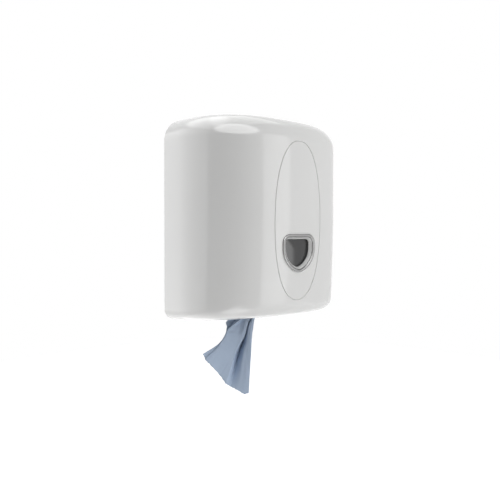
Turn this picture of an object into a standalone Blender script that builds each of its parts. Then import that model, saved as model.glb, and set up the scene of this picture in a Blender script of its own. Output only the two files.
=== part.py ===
"""Wall-hung centrefeed roll dispenser. Metres, +Z up, the wall is the plane Y = 0 and the front faces -Y.

The origin lies on the wall behind the middle of the cover. The back plate, the shelf and the roll stay on
the wall, and the cover swings down about two pins at its lower rear corners. A cam lock in its top holds it shut.
The paper leaves the middle of the roll through a nozzle.
"""

import math

import bmesh
import bpy
from mathutils import Matrix, Vector

# Roll, which the dispenser is made round
ROLL_RADIUS = 0.090
ROLL_HEIGHT = 0.200
ROLL_BORE_RADIUS = 0.030
ROLL_EDGE = 0.0015

# Cover
ROLL_SIDE_SPACE = 0.038
ROLL_REAR_SPACE = 0.010
ROLL_FRONT_SPACE = 0.018
ROLL_HEADROOM = 0.089
COVER_WALL = 0.003
COVER_WALL_GAP = 0.005
SIDE_DEPTH = 0.056
TOP_FILLET = 0.040
BOTTOM_FILLET = 0.019
FRONT_LEAN = 0.008
LEAN_START = 0.027
TOP_FALL = 0.028
BOTTOM_RISE = 0.026
PLAN_POWER = 2.6
OUTLET_LEDGE = 0.009
OUTLET_REAR = 0.045
GROOVE_HALF_WIDTH = 0.0415
GROOVE_TOP_SPACE = 0.061
GROOVE_FOOT_SPACE = 0.048
GROOVE_LEVEL = -0.009
GROOVE_RADIUS = 0.0008
GROOVE_POWER = 2.25

# Clearances
FIT_GAP = 0.0003
RUNNING_GAP = 0.0008
PLATE_GAP = 0.0020
OVERRUN = 0.0020
EMBED = 0.0010

# Window in the front of the cover
SHIELD_WIDTH = 0.056
SHIELD_RISE = 0.020
SHIELD_DROP = 0.036
SHIELD_LEVEL = -0.046
SHIELD_CORNER = 0.010
SHIELD_TIP = 0.0022
POCKET_DEPTH = 0.0012
FLANGE_THICKNESS = 0.0024
FLANGE_CHAMFER = 0.0006
FLANGE_LAND = 0.0010
BEVEL_WIDTH = 0.0050
BEVEL_DEPTH = 0.0028
SLEEVE_INSET = 0.0020
SLEEVE_WALL = 0.0016
SLEEVE_DEPTH = 0.0092
PAD_BORDER = 0.0060
LENS_THICKNESS = 0.0020
RETAINER_THICKNESS = 0.0020
RETAINER_OPENING_INSET = 0.0065
WINDOW_SCREW_OUTSET = 0.0020
WINDOW_SCREW_RADIUS = 0.0011
WINDOW_SCREW_LENGTH = 0.0055
WINDOW_SCREW_SPREAD_SHARES = (0.0, 0.55)

# Hinge at the lower rear corners
HINGE_DEPTH = 0.016
HINGE_RISE = 0.011
PIN_RADIUS = 0.0020
PIN_HEAD_RADIUS = 0.0036
PIN_HEAD_THICKNESS = 0.0014
PIN_TAIL = 0.0030
LUG_INSET = 0.028
LUG_THICKNESS = 0.006
LUG_RADIUS = 0.0065
LUG_ROOT_HEIGHT = 0.018
LUG_NOSE_START = math.radians(165)
LUG_NOSE_END = math.radians(395)
EAR_THICKNESS = 0.004
EAR_RADIUS = 0.0060
EAR_SPACE = 0.0022
BUSH_WALL = 0.0011
BUSH_FLANGE_RADIUS = 0.0052
BUSH_FLANGE_THICKNESS = 0.0009
CLIP_THICKNESS = 0.0008
CLIP_RADIUS = 0.0042
CLIP_GROOVE_RADIUS = 0.0013
CLIP_MOUTH = 0.0022

# Back plate
PLATE_THICKNESS = 0.003
PLATE_RIM_HEIGHT = 0.008
PLATE_RIM_WIDTH = 0.0025
PLATE_FOOT_RADIUS = 0.006
RIB_WIDTH = 0.0024
RIB_HEIGHT = 0.0030
RIB_OFFSET = 0.040
RIB_TOP_SPACE = 0.050
CROSS_RIB_RISE = 0.139
CROSS_RIB_TOP_SPACE = 0.055
SLOT_WIDTH = 0.0065
SLOT_LENGTH = 0.014
SLOT_SEAT_BORDER = 0.004
SLOT_SEAT_HEIGHT = 0.0015
SLOT_INSET = 0.042
SLOT_TOP_SPACE = 0.062
SLOT_SHELF_RISE = 0.057

# Shelf under the roll
SHELF_RISE = 0.051
SHELF_THICKNESS = 0.003
SHELF_BORDER = 0.0060
SHELF_RIM_HEIGHT = 0.007
SHELF_RIM_WIDTH = 0.0025
SHELF_BACK_SHARE = 0.75
SHELF_BACK_HEIGHT = 0.014
SHELF_BACK_THICKNESS = 0.003
BRACKET_SPACE = 0.0165
BRACKET_THICKNESS = 0.003
BRACKET_FLANGE = 0.014
BRACKET_INNER_LIP = 0.005
BRACKET_REACH = 0.0233
BRACKET_DROP = 0.0165
BRACKET_NOSE = 0.005

# Nozzle
NOZZLE_FLANGE_WIDTH = 0.0060
NOZZLE_FLANGE_THICKNESS = 0.0014
NOZZLE_BODY_RADIUS = 0.0355
NOZZLE_BODY_HEIGHT = 0.011
NOZZLE_WALL = 0.0025
NOZZLE_EXIT_RADIUS = 0.0105
NOZZLE_EXIT_DROP = 0.029
NOZZLE_LIP_HEIGHT = 0.003
NOZZLE_TOOTH = 0.0014
RING_HEIGHT = 0.005
RING_WALL = 0.0052
RING_NOTCHES = 8
RING_NOTCH_RADIUS = 0.0022

# Screws
SCREW_RADIUS = 0.0016
SCREW_HEAD_RADIUS = 0.0034
SCREW_HEAD_THICKNESS = 0.0020
SCREW_POINT_SHARE = 0.5
SCREW_HEAD_SIDE_SHARE = 0.6
SCREW_CROWN_SHARE = 0.7
SHELF_SCREW_INSET = 0.012
SHELF_SCREW_RISE = 0.0085
TRAY_SCREW_REACH = 0.010

# Lock in the top of the cover
LOCK_DEPTH = 0.030
BARREL_RADIUS = 0.0080
BARREL_LENGTH = 0.016
BARREL_FLANGE_RADIUS = 0.0110
BARREL_FLANGE_THICKNESS = 0.0018
BARREL_CHAMFER = 0.0006
PLUG_RADIUS = 0.0050
PLUG_HEAD_RADIUS = 0.0062
PLUG_HEAD_THICKNESS = 0.0028
KEY_SLOT_WIDTH = 0.0018
KEY_SLOT_LENGTH = 0.0072
KEY_SLOT_DEPTH = 0.0080
NUT_RADIUS = 0.0118
NUT_THICKNESS = 0.004
CAM_THICKNESS = 0.002
CAM_HUB_RADIUS = 0.0065
CAM_WIDTH = 0.009
CAM_LENGTH = 0.020
CAM_SQUARE = 0.005
CAM_SCREW_RADIUS = 0.0013
CAM_SCREW_LENGTH = 0.006
CAM_SCREW_HEAD_RADIUS = 0.0042
CAM_SCREW_HEAD_THICKNESS = 0.0016
KEEPER_THICKNESS = 0.0025
KEEPER_HEIGHT = 0.013
KEEPER_SPACE = 0.0030
KEEPER_MOUTH = 0.010
KEEPER_FOOT = 0.014
KEEPER_FOOT_HEIGHT = 0.020

# Hanging paper; TAIL_EDGE is where each fold ends, from the roll's axis and the nozzle's exit
THROAT_HALF_WIDTH = 0.0075
THROAT_HALF_DEPTH = 0.0063
TAIL_THICKNESS = 0.0008
TAIL_TOP = 0.075
TAIL_FLARE_START = 0.045
TAIL_FLARE_SCALE = 2.4
TAIL_EDGE = (
    (-0.086, 0.040, -0.080),
    (-0.066, 0.018, -0.102),
    (-0.057, 0.031, -0.116),
    (-0.041, 0.011, -0.137),
    (-0.016, 0.050, -0.142),
    (0.001, 0.043, -0.149),
)
TAIL_SOFTENING_SHARE = 0.2

# Facets and rows of points
ROUND_STEPS = 24
SMALL_STEPS = 16
HOLE_STEPS = 12
FINE_HOLE_STEPS = 10
ROLL_STEPS = 48
NOZZLE_STEPS = 40
SHELF_STEPS = 36
LUG_STEPS = 14
EAR_STEPS = 10
CLIP_STEPS = 14
HUB_STEPS = 18
CAM_TIP_STEPS = 8
NOTCH_STEPS = 8
PLATE_CORNER_STEPS = 8
PLATE_FOOT_STEPS = 3
NUT_SIDES = 6
NUT_SIDE_POINTS = 3
PLAN_POINTS = 14
WALL_ROWS = 7
FILLET_ROWS = 5
GROOVE_POINTS = 56
GROOVE_STEPS = 6
SHIELD_ARC_POINTS = 6
TAIL_ROWS = 9
TAIL_LEG_POINTS = 3
SMOOTH_ANGLE = math.radians(35)

# Places worked out from the sizes above
HALF_WIDTH = ROLL_RADIUS + ROLL_SIDE_SPACE
COVER_DEPTH = 2 * ROLL_RADIUS + ROLL_REAR_SPACE + ROLL_FRONT_SPACE
HALF_HEIGHT = (SHELF_RISE + ROLL_HEIGHT + ROLL_HEADROOM) / 2
FRONT_CURVE_DEPTH = COVER_DEPTH - SIDE_DEPTH
HINGE_Y = -HINGE_DEPTH
HINGE_Z = HINGE_RISE - HALF_HEIGHT
CORNER_REACH = math.hypot(HINGE_DEPTH - COVER_WALL_GAP, HINGE_RISE)
PLATE_FOOT = HINGE_Z + CORNER_REACH + RUNNING_GAP
PLATE_FRONT = -PLATE_THICKNESS
ROLL_DEPTH = ROLL_RADIUS + ROLL_REAR_SPACE
ROLL_CENTRE = Vector((0.0, -ROLL_DEPTH, 0.0))
SHELF_LEVEL = SHELF_RISE - HALF_HEIGHT
SHELF_UNDERSIDE = SHELF_LEVEL - SHELF_THICKNESS
SHELF_BACK = PLATE_FRONT - FIT_GAP
SHELF_BACK_HALF = SHELF_BACK_SHARE * (ROLL_RADIUS + SHELF_BORDER)
SLOT_SPREAD = HALF_WIDTH - SLOT_INSET
SLOT_LEVELS = (HALF_HEIGHT - SLOT_TOP_SPACE, SHELF_LEVEL + SLOT_SHELF_RISE)
CROSS_RIB_LEVELS = (SHELF_LEVEL + CROSS_RIB_RISE, HALF_HEIGHT - CROSS_RIB_TOP_SPACE)
LUG_MIDDLE = HALF_WIDTH - LUG_INSET
BRACKET_OFFSET = NOZZLE_BODY_RADIUS + BRACKET_SPACE
TRAY_SCREW_DEPTH = ROLL_DEPTH + TRAY_SCREW_REACH
NOZZLE_EXIT = SHELF_LEVEL - NOZZLE_EXIT_DROP
NOZZLE_FLANGE_RADIUS = NOZZLE_BODY_RADIUS + NOZZLE_FLANGE_WIDTH
LOCK_TILT = math.atan2(TOP_FALL, COVER_DEPTH - COVER_WALL_GAP)


def clear_scene():
    """Empties the file that the script runs in."""
    for item in list(bpy.data.objects):
        bpy.data.objects.remove(item)
    for mesh in list(bpy.data.meshes):
        bpy.data.meshes.remove(mesh)


def material(name, colour, roughness, metallic=0.0):
    """One Principled material; colour is linear RGB."""
    made = bpy.data.materials.new(name)
    made.use_nodes = True
    shader = made.node_tree.nodes["Principled BSDF"]
    shader.inputs["Base Color"].default_value = (*colour, 1.0)
    shader.inputs["Roughness"].default_value = roughness
    shader.inputs["Metallic"].default_value = metallic
    return made


def add_object(name, shape, finish, parent=None, place=None):
    """Turns a bmesh into a named smooth-shaded object. place is its world matrix, with a parent as well."""
    bmesh.ops.recalc_face_normals(shape, faces=shape.faces)
    mesh = bpy.data.meshes.new(name)
    shape.to_mesh(mesh)
    shape.free()
    mesh.materials.append(finish)
    mesh.shade_smooth()
    mesh.set_sharp_from_angle(angle=SMOOTH_ANGLE)
    made = bpy.data.objects.new(name, mesh)
    bpy.context.scene.collection.objects.link(made)
    if parent:
        made.parent = parent
        made.matrix_parent_inverse = parent.matrix_basis.inverted()
    if place:
        made.matrix_basis = place
    return made


def add_helper(owner, shape, word):
    """A hidden wire object that a Boolean uses, in its owner's frame."""
    finish = owner.data.materials[0]
    helper = add_object(f"{owner.name}_{word}", shape, finish, owner.parent, owner.matrix_basis)
    helper.hide_render = True
    helper.display_type = "WIRE"
    return helper


def boolean(owner, shape, operation, word):
    """Adds one live Boolean with its own hidden helper."""
    modifier = owner.modifiers.new(word, "BOOLEAN")
    modifier.operation = operation
    modifier.solver = "EXACT"
    modifier.object = add_helper(owner, shape, word)


def cut(owner, shape, word):
    boolean(owner, shape, "DIFFERENCE", word)


def fuse(owner, shape, word):
    boolean(owner, shape, "UNION", word)


def skin(shape, loops, closed_loops=False, caps=True):
    """Joins equal closed loops of points into one surface. closed_loops also joins the last to the first."""
    rings = [[shape.verts.new(point) for point in loop] for loop in loops]
    pairs = list(zip(rings, rings[1:]))
    if closed_loops:
        pairs.append((rings[-1], rings[0]))
    for low, high in pairs:
        for index in range(len(low)):
            after = (index + 1) % len(low)
            shape.faces.new((low[index], low[after], high[after], high[index]))
    if caps and not closed_loops:
        shape.faces.new(rings[0])
        shape.faces.new(rings[-1])
    return shape


def prism(outline, low, high, normal="Z"):
    """Extrudes a flat outline along one axis; the outline's two numbers are the other two axes in order."""
    places = {
        "X": lambda a, b, c: Vector((c, a, b)),
        "Y": lambda a, b, c: Vector((a, c, b)),
        "Z": lambda a, b, c: Vector((a, b, c)),
    }
    place = places[normal]
    return skin(bmesh.new(), [[place(a, b, level) for a, b in outline] for level in (low, high)])


def box(low, high):
    """A block between two corners."""
    outline = ((low[0], low[1]), (high[0], low[1]), (high[0], high[1]), (low[0], high[1]))
    return prism(outline, low[2], high[2])


def merged(shapes):
    """Several separate closed shapes as one bmesh, for one cutter."""
    whole = bmesh.new()
    for shape in shapes:
        mesh = bpy.data.meshes.new("piece")
        bmesh.ops.recalc_face_normals(shape, faces=shape.faces)
        shape.to_mesh(mesh)
        shape.free()
        whole.from_mesh(mesh)
        bpy.data.meshes.remove(mesh)
    return whole


def arc(centre, radius, start, end, count):
    """Points on an arc in the plane, the ends included; angles in radians."""
    turns = [start + (end - start) * index / count for index in range(count + 1)]
    return [(centre[0] + radius * math.cos(turn), centre[1] + radius * math.sin(turn)) for turn in turns]


def circle(radius, steps, centre=(0.0, 0.0)):
    return arc(centre, radius, 0.0, math.tau, steps)[:-1]


def stadium(width, length, centre, steps=SMALL_STEPS // 2):
    """A slot's outline that stands upright."""
    rise = (length - width) / 2
    upper = arc((centre[0], centre[1] + rise), width / 2, 0.0, math.pi, steps)
    lower = arc((centre[0], centre[1] - rise), width / 2, math.pi, math.tau, steps)
    return upper + lower


def turned(section, steps, solid_core=False):
    """Spins a closed (radius, height) section about Z. With solid_core its two ends lie on the axis."""
    kept = section[1:-1] if solid_core else section
    rings = [[Vector((x, y, height)) for x, y in circle(radius, steps)] for radius, height in kept]
    return skin(bmesh.new(), rings, closed_loops=not solid_core)


def rod(radius, low, high, steps=SMALL_STEPS):
    """A plain round bar about Z."""
    return prism(circle(radius, steps), low, high)


def moved(shape, matrix):
    bmesh.ops.transform(shape, matrix=matrix, verts=shape.verts)
    return shape


def along_x(place):
    """Turns a shape's Z axis to +X and moves it to the place."""
    return Matrix.Translation(place) @ Matrix.Rotation(math.pi / 2, 4, "Y")


def facing_room(place):
    """Turns a shape's Z axis to -Y, into the room, and moves it to the place."""
    return Matrix.Translation(place) @ Matrix.Rotation(math.pi / 2, 4, "X")


def facing_wall(place):
    """Turns a shape's Z axis to +Y, towards the wall, and moves it to the place."""
    return Matrix.Translation(place) @ Matrix.Rotation(-math.pi / 2, 4, "X")


def upside_down(place):
    """Turns a shape's Z axis to -Z and moves it to the place."""
    return Matrix.Translation(place) @ Matrix.Rotation(math.pi, 4, "X")


# Cover's form


def plan_point(turn, inset):
    """A point of the right half of the plan's front curve, moved inwards by inset."""
    across = math.cos(turn) ** (2 / PLAN_POWER)
    forward = math.sin(turn) ** (2 / PLAN_POWER)
    steep = PLAN_POWER - 1
    normal = Vector((across**steep / HALF_WIDTH, -(forward**steep) / FRONT_CURVE_DEPTH)).normalized()
    point = Vector((HALF_WIDTH * across, -SIDE_DEPTH - FRONT_CURVE_DEPTH * forward))
    return point - inset * normal


def plan(inset, rear):
    """The plan from the right rear edge round the front to the left rear edge."""
    side = HALF_WIDTH - inset
    right = [Vector((side, rear)), Vector((side, (rear - SIDE_DEPTH) / 2))]
    right += [plan_point(math.pi / 2 * index / PLAN_POINTS, inset) for index in range(PLAN_POINTS + 1)]
    right[-1].x = 0.0
    left = [Vector((-point.x, point.y)) for point in reversed(right[:-1])]
    return right + left


def forward_share(y):
    """0 at the cover's rear edge and 1 at its front."""
    return (-y - COVER_WALL_GAP) / (COVER_DEPTH - COVER_WALL_GAP)


def formed(x, y, level):
    """Leans the front back below LEAN_START and slopes the top and the bottom towards the front."""
    share = forward_share(y)
    lean_share = max(LEAN_START - level, 0.0) / (LEAN_START + HALF_HEIGHT)
    slope = TOP_FALL if level > 0 else BOTTOM_RISE
    return Vector((x, y + FRONT_LEAN * lean_share**2 * share, level * (1 - slope * share / HALF_HEIGHT)))


def front_face(x, z):
    """The outer face's Y on the front, at x and at the finished height z."""
    bulge = (1 - abs(x / HALF_WIDTH) ** PLAN_POWER) ** (1 / PLAN_POWER)
    y = -SIDE_DEPTH - FRONT_CURVE_DEPTH * bulge
    slope = TOP_FALL if z > 0 else BOTTOM_RISE
    level = z / (1 - slope * forward_share(y) / HALF_HEIGHT)
    return formed(x, y, level).y


def cover_rows(wall):
    """Rows of points from the bottom's flat to the top's, on the face that lies wall deep."""
    levels = []
    for index in range(FILLET_ROWS + 1):
        turn = math.pi / 2 * (1 - index / FILLET_ROWS)
        radius = BOTTOM_FILLET - wall
        inset = wall + radius * (1 - math.cos(turn))
        levels.append((inset, -HALF_HEIGHT + BOTTOM_FILLET - radius * math.sin(turn)))
    low = -HALF_HEIGHT + BOTTOM_FILLET
    high = HALF_HEIGHT - TOP_FILLET
    for index in range(1, WALL_ROWS):
        levels.append((wall, low + (high - low) * index / WALL_ROWS))
    for index in range(FILLET_ROWS + 1):
        turn = math.pi / 2 * index / FILLET_ROWS
        radius = TOP_FILLET - wall
        inset = wall + radius * (1 - math.cos(turn))
        levels.append((inset, high + radius * math.sin(turn)))
    rows = []
    for inset, level in levels:
        rows.append([formed(point.x, point.y, level) for point in plan(inset, -COVER_WALL_GAP)])
    return rows


def cover_skin():
    """The open-backed moulding: an outer and an inner face joined along the rear edge."""
    shape = bmesh.new()
    faces = []
    for wall in (0.0, COVER_WALL):
        rows = [[shape.verts.new(point) for point in row] for row in cover_rows(wall)]
        for low, high in zip(rows, rows[1:]):
            for index in range(len(low) - 1):
                shape.faces.new((low[index], low[index + 1], high[index + 1], high[index]))
        shape.faces.new(rows[0])
        shape.faces.new(rows[-1])
        faces.append([row[0] for row in rows] + [row[-1] for row in reversed(rows)])
    outer, inner = faces
    for index in range(len(outer)):
        after = (index + 1) % len(outer)
        shape.faces.new((outer[index], outer[after], inner[after], inner[index]))
    return shape


def outlet_outline():
    """The large hole in the bottom, which lets the cover swing clear of the nozzle and of the paper."""
    inset = BOTTOM_FILLET + OUTLET_LEDGE
    points = [formed(point.x, point.y, -HALF_HEIGHT) for point in plan(inset, -COVER_WALL_GAP)]
    kept = [(point.x, point.y) for point in points if point.y < -OUTLET_REAR]
    side = HALF_WIDTH - inset
    return [(side, -OUTLET_REAR)] + kept + [(-side, -OUTLET_REAR)]


def groove_ring():
    """A thin closed tube along the leaf-shaped line on the front."""
    centres = []
    rise = HALF_HEIGHT - GROOVE_TOP_SPACE - GROOVE_LEVEL
    drop = HALF_HEIGHT - GROOVE_FOOT_SPACE + GROOVE_LEVEL
    for index in range(GROOVE_POINTS):
        turn = math.tau * index / GROOVE_POINTS
        across = math.copysign(abs(math.cos(turn)) ** (2 / GROOVE_POWER), math.cos(turn))
        upward = math.copysign(abs(math.sin(turn)) ** (2 / GROOVE_POWER), math.sin(turn))
        x = GROOVE_HALF_WIDTH * across
        z = GROOVE_LEVEL + (rise if upward > 0 else drop) * upward
        centres.append(Vector((x, front_face(x, z), z)))
    loops = []
    for index, centre in enumerate(centres):
        ahead = centres[(index + 1) % GROOVE_POINTS] - centres[index - 1]
        side = ahead.cross(Vector((0.0, 1.0, 0.0))).normalized()
        out = side.cross(ahead).normalized()
        loops.append([centre + GROOVE_RADIUS * (a * side + b * out) for a, b in circle(1.0, GROOVE_STEPS)])
    return skin(bmesh.new(), loops, closed_loops=True)


# Window's outline


def shield(inset):
    """The shield from the front as (x, z), moved inwards by inset: flat top, round corners, curved to a tip."""
    half = SHIELD_WIDTH / 2
    radius = (half**2 + SHIELD_DROP**2) / SHIELD_WIDTH
    corner = max(SHIELD_CORNER - inset, FIT_GAP)
    top = SHIELD_LEVEL + SHIELD_RISE - inset
    upper = arc((half - inset - corner, top - corner), corner, math.pi / 2, 0.0, SHIELD_ARC_POINTS)
    centre = half - radius
    last = -math.acos((SHIELD_TIP - centre) / (radius - inset))
    side = arc((centre, SHIELD_LEVEL), radius - inset, 0.0, last, SHIELD_ARC_POINTS + 2)
    right = upper + side
    left = [(-x, z) for x, z in reversed(right)]
    return right + left


def shield_ring(section):
    """A ring that follows the shield; section is a closed list of (inset, y)."""
    loops = [[Vector((x, y, z)) for x, z in shield(inset)] for inset, y in section]
    return skin(bmesh.new(), loops, closed_loops=True)


def window_planes():
    """Y of the pocket's floor, of the flange's back and front, of the lens's seat and of the sleeve's end."""
    floor = front_face(0.0, SHIELD_LEVEL) + POCKET_DEPTH
    flange_back = floor - FIT_GAP
    flange_front = flange_back - FLANGE_THICKNESS
    sleeve_end = flange_back + SLEEVE_DEPTH
    lens_seat = sleeve_end - LENS_THICKNESS - 2 * FIT_GAP
    return floor, flange_back, flange_front, lens_seat, sleeve_end


def window_screw_spots():
    """Four places round the shield as (x, z)."""
    half = SHIELD_WIDTH / 2
    radius = (half**2 + SHIELD_DROP**2) / SHIELD_WIDTH
    spots = []
    for share in WINDOW_SCREW_SPREAD_SHARES:
        turn = -share * math.pi / 2
        reach = radius + WINDOW_SCREW_OUTSET
        x = half - radius + reach * math.cos(turn)
        z = SHIELD_LEVEL + reach * math.sin(turn)
        spots += [(-x, z), (x, z)]
    return spots


# Base pieces


def plate_outline(inset):
    """The back plate's edge: the cover's rear opening less a gap, cut off above the hinge."""
    side = HALF_WIDTH - COVER_WALL - PLATE_GAP - inset
    top = HALF_HEIGHT - COVER_WALL - PLATE_GAP - inset
    foot = PLATE_FOOT + inset
    corner = TOP_FILLET - COVER_WALL - PLATE_GAP - inset
    low = PLATE_FOOT_RADIUS - inset
    quarter = math.pi / 2
    points = arc((side - corner, top - corner), corner, 0.0, quarter, PLATE_CORNER_STEPS)
    points += arc((corner - side, top - corner), corner, quarter, 2 * quarter, PLATE_CORNER_STEPS)
    points += arc((low - side, foot + low), low, 2 * quarter, 3 * quarter, PLATE_FOOT_STEPS)
    points += arc((side - low, foot + low), low, 3 * quarter, 4 * quarter, PLATE_FOOT_STEPS)
    return points


def lug_outline():
    """A hinge lug from the side as (y, z): a round end on the pin and a root on the plate."""
    nose = arc((HINGE_Y, HINGE_Z), LUG_RADIUS, LUG_NOSE_START, LUG_NOSE_END, LUG_STEPS)
    root = [(PLATE_FRONT + EMBED, PLATE_FOOT + EMBED), (PLATE_FRONT + EMBED, PLATE_FOOT + LUG_ROOT_HEIGHT)]
    return nose + root


def back_plate(finish):
    plate = add_object("back_plate", prism(plate_outline(0.0), PLATE_FRONT, 0.0, "Y"), finish)
    rim_front = PLATE_FRONT - PLATE_RIM_HEIGHT
    loops = []
    for inset, y in (
        (0.0, PLATE_FRONT + EMBED),
        (0.0, rim_front),
        (PLATE_RIM_WIDTH, rim_front),
        (PLATE_RIM_WIDTH, PLATE_FRONT + EMBED),
    ):
        loops.append([Vector((x, y, z)) for x, z in plate_outline(inset + FIT_GAP)])
    fuse(plate, skin(bmesh.new(), loops, closed_loops=True), "rim")
    rib_foot = SHELF_LEVEL + SHELF_BACK_HEIGHT + OVERRUN
    rib_front = PLATE_FRONT - RIB_HEIGHT
    rear = PLATE_FRONT + EMBED
    rib_top = HALF_HEIGHT - RIB_TOP_SPACE
    ribs = []
    for x in (-RIB_OFFSET, RIB_OFFSET):
        ribs.append(box((x - RIB_WIDTH / 2, rib_front, rib_foot), (x + RIB_WIDTH / 2, rear, rib_top)))
    fuse(plate, merged(ribs), "ribs")
    rib_reach = SLOT_SPREAD - SLOT_WIDTH
    crossing = []
    for level in CROSS_RIB_LEVELS:
        low = (-rib_reach, rib_front + FIT_GAP, level - RIB_WIDTH / 2)
        high = (rib_reach, rear - FIT_GAP, level + RIB_WIDTH / 2)
        crossing.append(box(low, high))
    fuse(plate, merged(crossing), "cross_ribs")
    seats = []
    slots = []
    for x in (-SLOT_SPREAD, SLOT_SPREAD):
        for level in SLOT_LEVELS:
            border = 2 * SLOT_SEAT_BORDER
            seat = stadium(SLOT_WIDTH + border, SLOT_LENGTH + border, (x, level))
            seats.append(prism(seat, PLATE_FRONT - SLOT_SEAT_HEIGHT, PLATE_FRONT + EMBED, "Y"))
            slot = stadium(SLOT_WIDTH, SLOT_LENGTH, (x, level))
            slots.append(prism(slot, PLATE_FRONT - SLOT_SEAT_HEIGHT - OVERRUN, OVERRUN, "Y"))
    fuse(plate, merged(seats), "seats")
    lugs = []
    for side in (-1, 1):
        middle = side * LUG_MIDDLE
        lugs.append(prism(lug_outline(), middle - LUG_THICKNESS / 2, middle + LUG_THICKNESS / 2, "X"))
    fuse(plate, merged(lugs), "lugs")
    cut(plate, merged(slots), "slots")
    bores = []
    for side in (-1, 1):
        place = Vector((side * LUG_MIDDLE - LUG_THICKNESS / 2 - OVERRUN, HINGE_Y, HINGE_Z))
        bore = rod(bush_radius() + FIT_GAP, 0.0, LUG_THICKNESS + 2 * OVERRUN)
        bores.append(moved(bore, along_x(place)))
    for x, z in plate_screw_spots():
        hole = rod(SCREW_RADIUS + FIT_GAP, -OVERRUN, PLATE_THICKNESS + OVERRUN, HOLE_STEPS)
        bores.append(moved(hole, facing_room(Vector((x, 0.0, z)))))
    cut(plate, merged(bores), "bores")
    return plate


def shelf_outline(inset):
    """The tray from above: a round front and a straight back against the plate."""
    radius = ROLL_RADIUS + SHELF_BORDER - inset
    half = SHELF_BACK_HALF - inset
    start = math.acos(half / radius)
    front = arc((0.0, -ROLL_DEPTH), radius, start, -math.pi - start, SHELF_STEPS)
    back = SHELF_BACK - inset
    return [(half, back)] + front + [(-half, back)]


def roll_shelf(finish):
    tray = prism(shelf_outline(0.0), SHELF_UNDERSIDE, SHELF_LEVEL + SHELF_RIM_HEIGHT)
    shelf = add_object("roll_shelf", tray, finish)
    pocket = prism(shelf_outline(SHELF_RIM_WIDTH), SHELF_LEVEL, SHELF_LEVEL + SHELF_RIM_HEIGHT + OVERRUN)
    cut(shelf, pocket, "pocket")
    half = SHELF_BACK_HALF - FIT_GAP
    low = (-half, SHELF_BACK - SHELF_BACK_THICKNESS, SHELF_UNDERSIDE + FIT_GAP)
    high = (half, SHELF_BACK - FIT_GAP / 2, SHELF_LEVEL + SHELF_BACK_HEIGHT)
    fuse(shelf, box(low, high), "upstand")
    rebate = rod(NOZZLE_FLANGE_RADIUS + FIT_GAP, 0.0, SHELF_RIM_HEIGHT, NOZZLE_STEPS)
    rebate_floor = SHELF_LEVEL - NOZZLE_FLANGE_THICKNESS - 2 * FIT_GAP
    cut(shelf, moved(rebate, Matrix.Translation(ROLL_CENTRE + Vector((0.0, 0.0, rebate_floor)))), "rebate")
    bore = rod(NOZZLE_BODY_RADIUS + FIT_GAP, SHELF_UNDERSIDE - OVERRUN, SHELF_LEVEL, NOZZLE_STEPS)
    holes = [moved(bore, Matrix.Translation(ROLL_CENTRE))]
    for x, z in shelf_screw_spots():
        hole = rod(SCREW_RADIUS + FIT_GAP, -OVERRUN, SHELF_BACK_THICKNESS + OVERRUN, HOLE_STEPS)
        holes.append(moved(hole, facing_room(Vector((x, SHELF_BACK, z)))))
    for side in (-1, 1):
        hole = rod(SCREW_RADIUS + FIT_GAP, SHELF_UNDERSIDE - OVERRUN, SHELF_LEVEL + OVERRUN, HOLE_STEPS)
        place = Vector((side * tray_screw_offset(), -TRAY_SCREW_DEPTH, 0.0))
        holes.append(moved(hole, Matrix.Translation(place)))
    cut(shelf, merged(holes), "holes")
    return shelf


def shelf_screw_spots():
    """The two screws that hold the tray's upstand to the plate, as (x, z)."""
    level = SHELF_LEVEL + SHELF_SCREW_RISE
    return [(side * (SHELF_BACK_HALF - SHELF_SCREW_INSET), level) for side in (-1, 1)]


def bracket_screw_spots():
    """The screw through each bracket's rear flange, as (x, z)."""
    level = SHELF_UNDERSIDE - BRACKET_DROP / 2
    middle = BRACKET_OFFSET + BRACKET_FLANGE / 2
    return [(side * middle, level) for side in (-1, 1)]


def tray_screw_offset():
    """X of the upright screw in the middle of each bracket's top flange."""
    return BRACKET_OFFSET + (BRACKET_THICKNESS / 2 + BRACKET_FLANGE) / 2


def keeper_screw_spots():
    """The two screws of the lock's keeper, as (x, z)."""
    x = keeper_arm() + KEEPER_THICKNESS + KEEPER_FOOT / 2
    middle = cam_centre().z
    offset = KEEPER_FOOT_HEIGHT / 4
    return [(x, middle - offset), (x, middle + offset)]


def plate_screw_spots():
    return shelf_screw_spots() + bracket_screw_spots() + keeper_screw_spots()


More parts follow.
